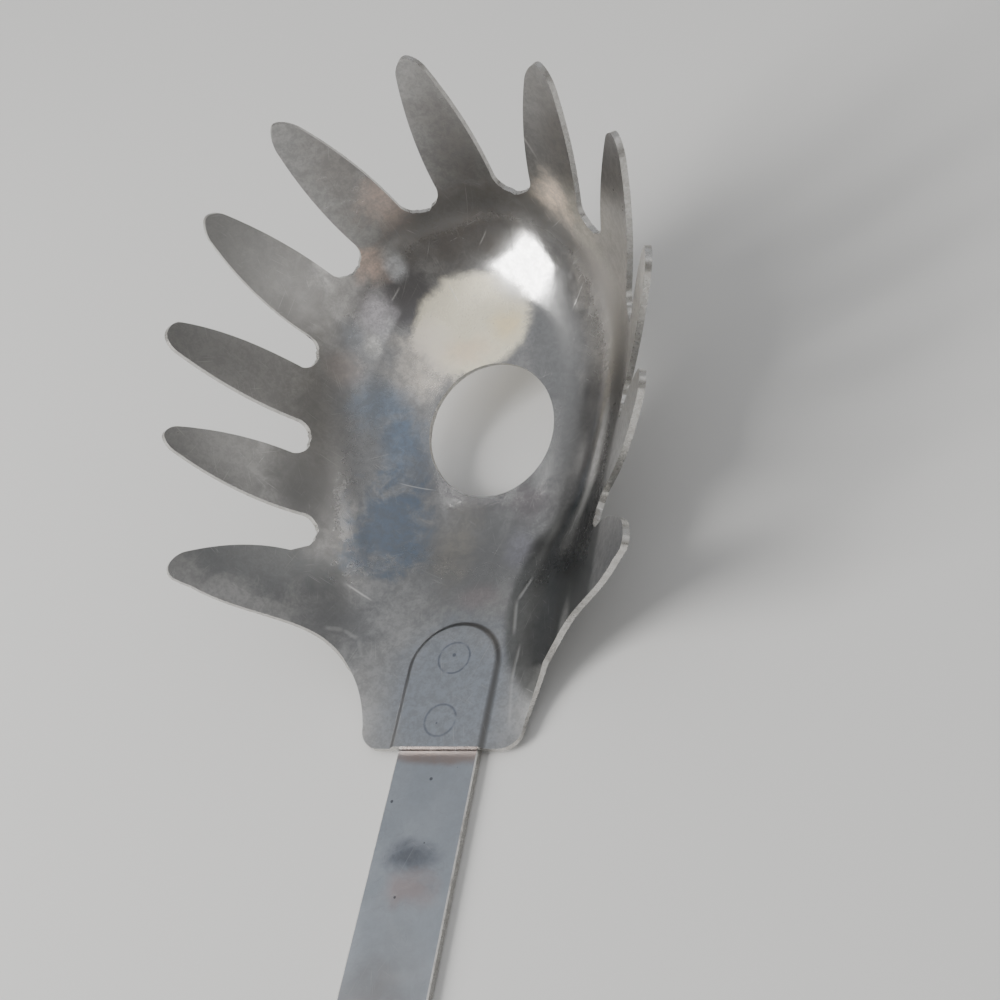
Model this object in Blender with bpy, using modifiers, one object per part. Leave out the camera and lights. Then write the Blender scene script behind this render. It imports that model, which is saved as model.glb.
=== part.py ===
"""Pasta server: a pressed, toothed steel head spot-welded to a flat strap handle.

The head starts as a flat blank with its teeth, its drain hole and the lines of its pocket, and is then
pressed. The floor stays flat round the hole, the walls bend up from it and open out towards the rear, the neck
bends into the plane of the handle, and a pocket rises over the end of the strap.
Metres, +Z up, teeth towards +Y, strap flat on z = 0.
"""

from math import cos, floor, hypot, pi, radians, sin, sqrt
from typing import NamedTuple

import bmesh
import bpy
from mathutils import Matrix, Vector
from mathutils.geometry import interpolate_bezier

# Stock, and the room between pieces that touch on the real object
SHEET_THICKNESS = 0.0010
STRAP_THICKNESS = 0.0015
SEAT_GAP = 0.0003

# Bowl. The spine is the line down the middle of the floor, and reaches are measured from it
OVERALL_LENGTH = 0.310
HOLE_DIAMETER = 0.0240
FLOOR_HALF_WIDTH = 0.0123
BOWL_BEND_RADIUS = 0.0190
WALL_SLOPE = radians(64.4)
FRONT_CENTRE = 0.00965

# Neck, measured back from the hole's centre along the sheet
NECK_BEND_START = 0.0129
NECK_BEND_RADIUS = 0.0264
NECK_SLOPE = radians(20.0)
NECK_LENGTH = 0.0580
NECK_HALF_WIDTH = 0.0142
NECK_CORNER_RADIUS = 0.0037

# Rear of the bowl, where the floor narrows to the throat and the side walls open out. Both start at the front
# centre. The walls end in flanges that fade out along the neck
THROAT_HALF_WIDTH = 0.0056
THROAT_END = 0.0331
REAR_WALL_SLOPE = radians(48.1)
REAR_SLOPE_END = 0.0510
FLANGE_START = 0.0442
FLANGE_END = 0.0565
FLANGE_FADE = 1.3

# Strap handle
STRAP_NECK_WIDTH = 0.0140
STRAP_END_WIDTH = 0.0170
STRAP_EDGE_RADIUS = 0.0002
HANGING_HOLE_DIAMETER = 0.0080
HANGING_HOLE_INSET = 0.0095

# Pocket over the strap's end, open at the neck's end
POCKET_LENGTH = 0.0224
POCKET_WALL = 0.0013
POCKET_RISE = 0.0008
POCKET_SIDE_ROOM = 0.0002

# Spot welds, measured back from the pocket's front and forward from the neck's end
FRONT_WELD_SETBACK = 0.0070
REAR_WELD_INSET = 0.0045
NUGGET_RADIUS = 0.0023
NUGGET_HALF_THICKNESS = 0.00035

# Teeth. RIM_LINE is the reach at which they are spaced, and GAP_REACH that of the bottom of each gap. The press
# draws the front teeth in, which fades out over the last DRAW_FADE before the straight sides
RIM_LINE = 0.0312
DRAW_FADE = 0.0040
GAP_REACH = 0.0336
REAR_GAP_REACH = 0.0301
FLANK_REACH = 0.0473
FLANK_HANDLE = (-0.0147, -0.0061)
NECK_HANDLE = (0.0044, 0.0212)


class Tooth(NamedTuple):
    """One tooth. Its root and tip are places along the rim line, measured back from the front tooth.

    The half widths are those at the rim line and under the nose. The sides bulge between them, and the nose is
    an ellipse of its own length.
    """

    root: float
    tip: float
    reach: float
    root_half: float
    tip_half: float
    bulge: float
    nose: float


# From the front tooth, on the axis, to the rearmost. The mirror makes the other side
TEETH = (
    Tooth(root=0.0, tip=0.0, reach=0.0615, root_half=0.00508, tip_half=0.0018, bulge=0.00154, nose=0.0026),
    Tooth(root=0.0165, tip=0.0171, reach=0.0622, root_half=0.0048, tip_half=0.00186, bulge=0.00156, nose=0.0036),
    Tooth(root=0.0333, tip=0.0300, reach=0.0617, root_half=0.00537, tip_half=0.00175, bulge=0.00164, nose=0.0025),
    Tooth(root=0.0492, tip=0.0441, reach=0.06215, root_half=0.00447, tip_half=0.00155, bulge=0.00147, nose=0.002),
    Tooth(root=0.0657, tip=0.0611, reach=0.05986, root_half=0.00481, tip_half=0.0014, bulge=0.00156, nose=0.0019),
    Tooth(root=0.0820, tip=0.0832, reach=0.05214, root_half=0.00395, tip_half=0.00174, bulge=0.00187, nose=0.0015),
)

# Facets
GRID_PITCH = 0.0028
TOOTH_STEPS = 11
ARC_STEPS = 6
HOLE_STEPS = 20
POCKET_RINGS = (0.0, 0.3, 0.7, 1.0)
NUGGET_SEGMENTS = 24
NUGGET_RINGS = 8
GAP_PASSES = 8
MERGE = 0.00001
WELD_SLIVERS = 0.0002

# Worked out from the sizes above
POCKET_HALF_WIDTH = STRAP_NECK_WIDTH / 2 + POCKET_SIDE_ROOM + POCKET_WALL
POCKET_CENTRE = -NECK_LENGTH + POCKET_LENGTH - POCKET_HALF_WIDTH
POCKET_UNDERSIDE = STRAP_THICKNESS + SEAT_GAP
NECK_TOP = POCKET_UNDERSIDE + SHEET_THICKNESS - POCKET_RISE


def wall_section(reach, floor_half_width, slope):
    """Plan distance and height of a point across the bowl: a flat floor, an arc and a straight slope."""
    angle = min(max((reach - floor_half_width) / BOWL_BEND_RADIUS, 0.0), slope)
    straight = max(reach - floor_half_width - BOWL_BEND_RADIUS * slope, 0.0)
    plan = min(reach, floor_half_width) + BOWL_BEND_RADIUS * sin(angle) + straight * cos(slope)
    return plan, BOWL_BEND_RADIUS * (1.0 - cos(angle)) + straight * sin(slope)


def reach_in_plan(reach):
    """Plan distance from the spine of a point of the front wall whose distance along the sheet is reach."""
    return wall_section(reach, FLOOR_HALF_WIDTH, WALL_SLOPE)[0]


def eased(start, end, value):
    """Rise smoothly from 0 at start to 1 at end."""
    share = min(max((value - start) / (end - start), 0.0), 1.0)
    return share * share * (3.0 - 2.0 * share)


def pressed_spine(along):
    """Plan place and height of the spine at a blank distance along it, with its slope there."""
    back = max(-along - NECK_BEND_START, 0.0)
    slope = min(back / NECK_BEND_RADIUS, NECK_SLOPE)
    straight = max(back - NECK_BEND_RADIUS * NECK_SLOPE, 0.0)
    place = max(along, -NECK_BEND_START) - NECK_BEND_RADIUS * sin(slope) - straight * cos(NECK_SLOPE)
    height = NECK_BEND_RADIUS * (1.0 - cos(slope)) + straight * sin(NECK_SLOPE)
    return place, height, slope


def pocket_rise(across, along):
    """Height of the pocket over the neck: nothing outside its outline, and full inside its wall."""
    depth = POCKET_HALF_WIDTH - hypot(across, max(along - POCKET_CENTRE, 0.0))
    return POCKET_RISE * eased(0.0, POCKET_WALL, depth)


def pressed(across, along):
    """Place of a blank point on the upper face of the pressed head, in the frame of its flat floor."""
    ahead = along - FRONT_CENTRE
    if ahead > 0.0:
        reach = hypot(across, ahead)
        plan, wall = wall_section(reach, FLOOR_HALF_WIDTH, WALL_SLOPE)
        share = plan / reach
        return Vector((across * share, FRONT_CENTRE + ahead * share, wall))
    place, height, slope = pressed_spine(along)
    narrowing = eased(-FRONT_CENTRE, THROAT_END, -along)
    opening = eased(-FRONT_CENTRE, REAR_SLOPE_END, -along)
    plan, wall = wall_section(
        across,
        FLOOR_HALF_WIDTH + (THROAT_HALF_WIDTH - FLOOR_HALF_WIDTH) * narrowing,
        WALL_SLOPE + (REAR_WALL_SLOPE - WALL_SLOPE) * opening,
    )
    fade = min(max((FLANGE_END + along) / (FLANGE_END - FLANGE_START), 0.0), 1.0) ** FLANGE_FADE
    rise = pocket_rise(across, along)
    return Vector((
        across + (plan - across) * fade,
        place + rise * sin(slope),
        height + rise * cos(slope) + wall * fade,
    ))


RIM_RADIUS = reach_in_plan(RIM_LINE)
FRONT_QUARTER = RIM_RADIUS * pi / 2


def rim_to_blank(reach, back):
    """Blank point at a reach from the spine, at a place measured back from the front tooth."""
    if back < FRONT_QUARTER:
        angle = back / RIM_RADIUS
        return reach * sin(angle), FRONT_CENTRE + reach * cos(angle)
    return reach, FRONT_CENTRE + FRONT_QUARTER - back


def rim_scale(reach, back):
    """Length on the rim line that stands for a unit of width at this reach. The press draws the front in."""
    drawn = eased(FRONT_QUARTER, FRONT_QUARTER - DRAW_FADE, back)
    return 1.0 + (RIM_RADIUS / reach_in_plan(reach) - 1.0) * drawn


def tooth_edge(tooth, side, reach):
    """Place along the rim of one edge of a tooth: side is -1 for its front edge and 1 for its rear edge."""
    share = (reach - RIM_LINE) / (tooth.reach - RIM_LINE)
    centre = tooth.root + (tooth.tip - tooth.root) * share
    half = tooth.root_half + (tooth.tip_half - tooth.root_half) * share + 4.0 * tooth.bulge * share * (1.0 - share)
    turned = min(max(1.0 - (tooth.reach - reach) / tooth.nose, 0.0), 1.0)
    return centre + side * half * sqrt(1.0 - turned * turned) * rim_scale(reach, centre)


def tooth_side(tooth, side, start):
    """Blank points up one edge of a tooth, from a reach to its tip, closer together round the nose."""
    points = []
    for step in range(TOOTH_STEPS + 1):
        reach = tooth.reach - (tooth.reach - start) * (1.0 - sin(pi / 2 * step / TOOTH_STEPS))
        points.append(rim_to_blank(reach, tooth_edge(tooth, side, reach)))
    return points


def gap_between(front, rear, floor):
    """Centre reach, middle and half width along the rim of the round bottom between two teeth."""
    radius = 0.0
    for _ in range(GAP_PASSES):
        centre = floor + radius
        start = tooth_edge(front, 1, centre)
        end = tooth_edge(rear, -1, centre)
        radius = (end - start) / 2 / rim_scale(centre, start)
    return centre, radius, (start + end) / 2, (end - start) / 2


def toothed_rim():
    """Blank points of the right-hand rim, from the front tooth's tip to the foot of the rear tooth."""
    points = []
    start = None
    for front, rear in zip(TEETH, TEETH[1:]):
        floor = REAR_GAP_REACH if rear is TEETH[-1] else GAP_REACH
        centre, radius, middle, half = gap_between(front, rear, floor)
        if start is not None:
            points += tooth_side(front, -1, start)[:-1]
        points += reversed(tooth_side(front, 1, centre))
        for step in range(1, ARC_STEPS):
            angle = pi * step / ARC_STEPS
            points.append(rim_to_blank(centre - radius * sin(angle), middle - half * cos(angle)))
        start = centre
    points += tooth_side(TEETH[-1], -1, start)[:-1]
    points += reversed(tooth_side(TEETH[-1], 1, FLANK_REACH))
    return points


def neck_side(foot):
    """Blank points from the rear tooth's foot down the hollow flank and round the neck's corner."""
    corner = Vector((NECK_HALF_WIDTH, -NECK_LENGTH + NECK_CORNER_RADIUS, 0.0))
    foot = Vector((*foot, 0.0))
    handles = (foot + Vector((*FLANK_HANDLE, 0.0)), corner + Vector((*NECK_HANDLE, 0.0)))
    points = [tuple(point[:2]) for point in interpolate_bezier(foot, *handles, corner, 3 * ARC_STEPS)[1:]]
    for step in range(1, ARC_STEPS):
        angle = pi / 2 * step / ARC_STEPS
        points.append((
            corner.x - NECK_CORNER_RADIUS * (1.0 - cos(angle)),
            corner.y - NECK_CORNER_RADIUS * sin(angle),
        ))
    points.append((corner.x - NECK_CORNER_RADIUS, -NECK_LENGTH))
    return points


def pocket_loop(inset):
    """Blank points of the pocket's outline, drawn in by an inset, from the neck's end to the axis."""
    radius = POCKET_HALF_WIDTH - inset
    points = [(radius, -NECK_LENGTH)]
    for step in range(ARC_STEPS + 1):
        angle = pi / 2 * step / ARC_STEPS
        points.append((radius * cos(angle), POCKET_CENTRE + radius * sin(angle)))
    return points


def half_hole():
    """Blank points of the right half of the drain hole, from its rear to its front."""
    angles = (pi * (step / HOLE_STEPS - 0.5) for step in range(HOLE_STEPS + 1))
    return [(HOLE_DIAMETER / 2 * cos(angle), HOLE_DIAMETER / 2 * sin(angle)) for angle in angles]


def half_blank():
    """The right half of the flat blank, as one face outside the pocket and one for each step of its wall."""
    blank = bmesh.new()
    rim = toothed_rim()
    loops = [pocket_loop(POCKET_WALL * share) for share in POCKET_RINGS]
    outlines = [rim + neck_side(rim[-1]) + loops[0] + half_hole()]
    outlines += [outer + inner[::-1] for outer, inner in zip(loops, loops[1:])]
    outlines.append(loops[-1] + [(0.0, -NECK_LENGTH)])
    for outline in outlines:
        blank.faces.new([blank.verts.new((x, y, 0.0)) for x, y in outline])
    bmesh.ops.remove_doubles(blank, verts=blank.verts, dist=MERGE)
    blank.normal_update()
    for face in blank.faces:
        if face.normal.z < 0.0:
            face.normal_flip()
    return blank


def cut_into_grid(blank):
    """Cut the blank's faces along a square grid, so that the press has points to move."""
    for axis in (Vector((1.0, 0.0, 0.0)), Vector((0.0, 1.0, 0.0))):
        places = [vert.co.dot(axis) for vert in blank.verts]
        first = floor(min(places) / GRID_PITCH) + 1
        last = floor(max(places) / GRID_PITCH)
        for line in range(first, last + 1):
            bmesh.ops.bisect_plane(
                blank,
                geom=blank.verts[:] + blank.edges[:] + blank.faces[:],
                dist=MERGE,
                plane_co=axis * line * GRID_PITCH,
                plane_no=axis,
            )


def new_object(name, mesh, material, collection, parent):
    """Put a mesh into the scene as a named object under its parent."""
    item = bpy.data.objects.new(name, mesh)
    collection.objects.link(item)
    item.parent = parent
    if material is not None:
        mesh.materials.append(material)
    return item


def steel(name, colour, roughness):
    """A bare steel with its own colour and polish."""
    material = bpy.data.materials.new(name)
    material.use_nodes = True
    shader = material.node_tree.nodes["Principled BSDF"]
    shader.inputs["Base Color"].default_value = (*colour, 1.0)
    shader.inputs["Metallic"].default_value = 1.0
    shader.inputs["Roughness"].default_value = roughness
    return material


def make_head(collection, parent):
    """The pressed head: half a blank, cut into a grid, pressed, mirrored and given the sheet's thickness."""
    blank = half_blank()
    cut_into_grid(blank)
    bmesh.ops.dissolve_degenerate(blank, dist=WELD_SLIVERS, edges=blank.edges)
    bmesh.ops.triangulate(blank, faces=blank.faces)
    for vert in blank.verts:
        vert.co = pressed(vert.co.x, vert.co.y)
    mesh = bpy.data.meshes.new("server_head")
    blank.to_mesh(mesh)
    blank.free()
    mesh.shade_smooth()
    head = new_object("server_head", mesh, steel("polished_sheet", (0.60, 0.60, 0.61), 0.22), collection, parent)
    mirror = head.modifiers.new("other_half", "MIRROR")
    mirror.use_axis = (True, False, False)
    mirror.merge_threshold = MERGE
    wall = head.modifiers.new("sheet", "SOLIDIFY")
    wall.thickness = SHEET_THICKNESS
    wall.offset = -1.0
    return head


def strap_outline(front, neck_end, rear):
    """Points round the strap: a round front end, straight to the neck's end, then widening to a round rear."""
    front_half = STRAP_NECK_WIDTH / 2
    rear_half = STRAP_END_WIDTH / 2
    steps = 2 * ARC_STEPS
    points = [(front_half * cos(pi * step / steps), front - front_half + front_half * sin(pi * step / steps))
              for step in range(steps + 1)]
    points.append((-front_half, neck_end))
    points += [(-rear_half * cos(pi * step / steps), rear + rear_half - rear_half * sin(pi * step / steps))
               for step in range(steps + 1)]
    points.append((front_half, neck_end))
    return points


def add_outline(curve, points):
    """Add one closed outline to a flat curve."""
    spline = curve.splines.new("POLY")
    spline.points.add(len(points) - 1)
    spline.use_cyclic_u = True
    for control, (x, y) in zip(spline.points, points):
        control.co = (x, y, 0.0, 1.0)


def make_strap(collection, parent, neck_end):
    """The strap handle: a flat outline with a hanging hole, lying on z = 0 and reaching into the pocket."""
    curve = bpy.data.curves.new("handle_strap", "CURVE")
    curve.dimensions = "2D"
    curve.fill_mode = "BOTH"
    curve.extrude = STRAP_THICKNESS / 2 - STRAP_EDGE_RADIUS
    curve.bevel_depth = STRAP_EDGE_RADIUS
    curve.bevel_resolution = 1
    curve.offset = -STRAP_EDGE_RADIUS
    front = neck_end + POCKET_LENGTH - POCKET_WALL - POCKET_SIDE_ROOM
    rear = -OVERALL_LENGTH / 2
    add_outline(curve, strap_outline(front, neck_end, rear))
    hole = HANGING_HOLE_DIAMETER / 2
    turns = [2 * pi * step / (4 * ARC_STEPS) for step in range(4 * ARC_STEPS)]
    add_outline(curve, [(hole * cos(turn), rear + HANGING_HOLE_INSET + hole * sin(turn)) for turn in turns])
    guide = bpy.data.objects.new("strap_curve", curve)
    collection.objects.link(guide)
    bpy.context.view_layer.update()
    mesh = bpy.data.meshes.new_from_object(guide.evaluated_get(bpy.context.evaluated_depsgraph_get()))
    bpy.data.objects.remove(guide)
    welded = bmesh.new()
    welded.from_mesh(mesh)
    bmesh.ops.remove_doubles(welded, verts=welded.verts, dist=MERGE)
    bmesh.ops.recalc_face_normals(welded, faces=welded.faces)
    welded.to_mesh(mesh)
    welded.free()
    mesh.name = "handle_strap"
    mesh.materials.clear()
    strap = new_object("handle_strap", mesh, steel("brushed_strap", (0.56, 0.57, 0.58), 0.28), collection, parent)
    strap.location.z = STRAP_THICKNESS / 2
    return strap


def lens(name, radius, half_thickness, place, collection, parent, material=None):
    """A flat lens of metal centred on the faying line between pocket and strap."""
    shape = bmesh.new()
    bmesh.ops.create_uvsphere(shape, u_segments=NUGGET_SEGMENTS, v_segments=NUGGET_RINGS, radius=1.0)
    bmesh.ops.scale(shape, vec=(radius, radius, half_thickness), verts=shape.verts)
    mesh = bpy.data.meshes.new(name)
    shape.to_mesh(mesh)
    shape.free()
    mesh.shade_smooth()
    item = new_object(name, mesh, material, collection, parent)
    item.location = (0.0, place, STRAP_THICKNESS + SEAT_GAP / 2)
    return item


def seat_nugget(name, place, sheets, collection, cutters, parent, material):
    """A weld nugget, with the room that it takes cut out of the two sheets that it joins."""
    lens(name, NUGGET_RADIUS, NUGGET_HALF_THICKNESS, place, collection, parent, material)
    room = lens(
        name + "_room", NUGGET_RADIUS + SEAT_GAP, NUGGET_HALF_THICKNESS + SEAT_GAP, place, cutters, parent
    )
    room.hide_render = True
    room.display_type = "WIRE"
    for sheet in sheets:
        cut = sheet.modifiers.new(name, "BOOLEAN")
        cut.operation = "DIFFERENCE"
        cut.object = room


def main():
    """Build the server under one empty, with the bounding box centred over the origin."""
    for item in list(bpy.data.objects):
        bpy.data.objects.remove(item)
    collection = bpy.data.collections.new("pasta_server")
    cutters = bpy.data.collections.new("cutters")
    for group in (collection, cutters):
        bpy.context.scene.collection.children.link(group)
    frame = bpy.data.objects.new("server_frame", None)
    collection.objects.link(frame)

    tilt = Matrix.Rotation(NECK_SLOPE, 3, "X")
    tip = pressed(0.0, FRONT_CENTRE + TEETH[0].reach)
    outer_tip = tilt @ (tip + SHEET_THICKNESS * Vector((0.0, sin(WALL_SLOPE), -cos(WALL_SLOPE))))
    place, height, _ = pressed_spine(-NECK_LENGTH)
    neck_end = tilt @ Vector((0.0, place, height))
    shift = Vector((0.0, OVERALL_LENGTH / 2 - outer_tip.y, NECK_TOP - neck_end.z))

    head = make_head(collection, frame)
    head.rotation_euler = (NECK_SLOPE, 0.0, 0.0)
    head.location = shift
    neck_end_place = neck_end.y + shift.y
    strap = make_strap(collection, frame, neck_end_place)
    fused = steel("fused_weld", (0.45, 0.44, 0.43), 0.45)
    front_inset = POCKET_LENGTH - FRONT_WELD_SETBACK
    for name, inset in (("front_spot_weld", front_inset), ("rear_spot_weld", REAR_WELD_INSET)):
        seat_nugget(name, neck_end_place + inset, (head, strap), collection, cutters, frame, fused)


main()
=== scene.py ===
"""Looks of the pasta server: a pressed, toothed steel head spot-welded to a flat strap handle.

Every surface is worked out as whole numpy arrays in the flat blank, and then pressed by the same rule as the
solids. Metres, +Z up, teeth towards +Y, strap flat on z = 0. The tables of marks, tints and painted light are
in millimetres.
"""

import logging
from collections.abc import Iterable
from dataclasses import dataclass
from enum import Enum
from functools import reduce

import bpy
import numpy as np
from bpy.types import Node, NodeSocket, NodeTree, Object
from mathutils import Matrix, Vector
from numpy import ndarray as Array


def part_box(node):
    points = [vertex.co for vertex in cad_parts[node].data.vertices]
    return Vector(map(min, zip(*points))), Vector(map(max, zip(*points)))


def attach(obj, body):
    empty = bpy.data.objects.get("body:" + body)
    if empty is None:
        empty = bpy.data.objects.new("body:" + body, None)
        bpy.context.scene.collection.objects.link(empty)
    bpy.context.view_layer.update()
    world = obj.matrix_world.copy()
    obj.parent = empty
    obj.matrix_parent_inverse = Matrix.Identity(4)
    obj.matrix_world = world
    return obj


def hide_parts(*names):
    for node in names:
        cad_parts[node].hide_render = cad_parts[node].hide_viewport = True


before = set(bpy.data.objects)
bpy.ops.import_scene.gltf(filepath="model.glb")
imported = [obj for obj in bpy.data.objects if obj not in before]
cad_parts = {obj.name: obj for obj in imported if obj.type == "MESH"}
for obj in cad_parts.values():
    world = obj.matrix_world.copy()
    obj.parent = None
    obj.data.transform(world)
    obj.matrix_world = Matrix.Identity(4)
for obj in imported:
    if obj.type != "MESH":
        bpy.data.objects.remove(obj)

Pair = tuple[float, float]
Triple = tuple[float, float, float]
LOG = logging.getLogger("pasta_server")
MILLIMETRE = 0.001
WELD_DISTANCE = 0.000002
UV_SCALE = 10.0
QUARTER_TURN = np.pi / 2
NECK_SLOPE = np.radians(20.0)
BOWL_MIDDLE = (0.0, 0.115, 0.015)
# Waves round the turn of a gap, phase for a metre of the seed, and share of each wave in the burr.
BURR_WAVES = np.array([(5.0, 311.0, 0.4), (9.0, 523.0, 0.3), (14.0, 877.0, 0.3), (23.0, 1291.0, 0.25)])


class Layer(Enum):
    """Material slots of a piece made from sheet."""

    FACE = 0
    CUT_EDGE = 1
    CORNER = 2


def eased(start: float, end: float, value: Array) -> Array:
    """Rise smoothly from 0 at start to 1 at end: the share of the way s becomes s * s * (3 - 2 s)."""
    share = np.clip((value - start) / (end - start), 0.0, 1.0)
    return share * share * (3.0 - 2.0 * share)


def ruled(inner: Array, outer: Array, steps: int) -> Array:
    """Straight rays from each inner point to its outer point: one row a ray, and a column for each step."""
    share = np.linspace(0.0, 1.0, steps + 1)[None, :, None]
    return (1.0 - share) * inner[:, None] + share * outer[:, None]


def between(first: Array, last: Array, steps: int) -> Array:
    """Points on the straight line from first to last, one a row, both ends included."""
    return ruled(first[None], last[None], steps)[0]


def coons(bottom: Array, top: Array, left: Array, right: Array) -> Array:
    """Fill four meeting edges with a grid.

    Each point is the blend of bottom and top, plus the blend of left and right, less the blend of the corners.

    Args:
        bottom: Edge from the left to the right corner.
        top: The opposite edge.
        left: Edge from the bottom to the top corner.
        right: The opposite edge.

    Returns:
        Array of rows, columns and coordinates.
    """
    u = np.linspace(0.0, 1.0, len(bottom))[None, :, None]
    v = np.linspace(0.0, 1.0, len(left))[:, None, None]
    along = (1.0 - v) * bottom[None] + v * top[None]
    across = (1.0 - u) * left[:, None] + u * right[:, None]
    corners = (1.0 - v) * ((1.0 - u) * bottom[0] + u * bottom[-1]) + v * ((1.0 - u) * top[0] + u * top[-1])
    return along + across - corners


def bezier(start: Array, first: Array, second: Array, end: Array, t: Array) -> Array:
    """Points of a cubic Bezier curve with two handles: s^3 start + 3 s^2 t first + 3 s t^2 second + t^3 end."""
    s, t = 1.0 - t[:, None], t[:, None]
    return s ** 3 * start + 3 * s * s * t * first + 3 * s * t * t * second + t ** 3 * end


def polar(radius: Array, turn: Array, along: float = 0.0) -> Array:
    """Blank points at a radius and a turn from +Y, round a place along the spine."""
    return np.stack([radius * np.sin(turn), along + radius * np.cos(turn)], axis=-1)


def lean(angle: float) -> Array:
    """Matrix that turns about X, and lifts +Y towards +Z."""
    cosine, sine = np.cos(angle), np.sin(angle)
    return np.array([[1.0, 0.0, 0.0], [0.0, cosine, -sine], [0.0, sine, cosine]])


def sighted(heading: Array, height: Array) -> Array:
    """Unit vectors with a heading from +Y towards +X and a height, both in degrees."""
    turn, rise = np.radians(heading), np.radians(height)
    return np.stack([np.sin(turn) * np.cos(rise), np.cos(turn) * np.cos(rise), np.sin(rise)], axis=-1)


def placed(name: str, data: bpy.types.ID) -> Object:
    """Put an object with some data into the scene.

    Args:
        name: Name of the object.
        data: Its mesh, lamp or camera.

    Returns:
        The object.
    """
    item = bpy.data.objects.new(name, data)
    bpy.context.scene.collection.objects.link(item)
    return item


class FlatPattern:
    """Half of a flat blank as quads, x from 0 outwards, gathered from rectangular grids and mirrored."""

    def __init__(self) -> None:
        """Start with no grids."""
        self.points: list[Array] = []
        self.quads: list[Array] = []
        self.count = 0

    def add(self, grid: Array) -> None:
        """Add a grid.

        Args:
            grid: Array of rows, columns and blank coordinates.
        """
        rows, columns = grid.shape[:2]
        index = np.arange(rows * columns).reshape(rows, columns) + self.count
        quads = np.stack([index[:-1, :-1], index[:-1, 1:], index[1:, 1:], index[1:, :-1]], axis=-1)
        self.points.append(grid.reshape(-1, 2))
        self.quads.append(quads.reshape(-1, 4))
        self.count += rows * columns

    def whole(self) -> tuple[Array, list[Array]]:
        """Mirror the half, merge shared points and drop what a pole has made flat.

        Points closer than the weld distance share one number. Faces are turned so that their area in the blank
        is positive, and a quad with two equal corners becomes a triangle.

        Returns:
            The blank's points, and its faces as arrays of point numbers.
        """
        half = np.concatenate(self.points)
        quads = np.concatenate(self.quads)
        points = np.concatenate([half, half * (-1.0, 1.0)])
        quads = np.concatenate([quads, quads[:, ::-1] + len(half)])
        keys = np.round(points / WELD_DISTANCE).astype(np.int64)
        _, first, number = np.unique(keys, axis=0, return_index=True, return_inverse=True)
        points = points[first]
        quads = number.reshape(-1)[quads]
        corner = points[quads]
        following = np.roll(corner, -1, axis=1)
        area = (corner[..., 0] * following[..., 1] - following[..., 0] * corner[..., 1]).sum(axis=1)
        quads = np.where((area < 0.0)[:, None], quads[:, ::-1], quads)
        quads = quads[np.abs(area) > WELD_DISTANCE ** 2]
        repeated = quads == np.roll(quads, -1, axis=1)
        pinched = repeated.any(axis=1)
        faces = list(quads[~pinched])
        faces += [quad[~double] for quad, double in zip(quads[pinched], repeated[pinched])]
        return points, faces


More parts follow.
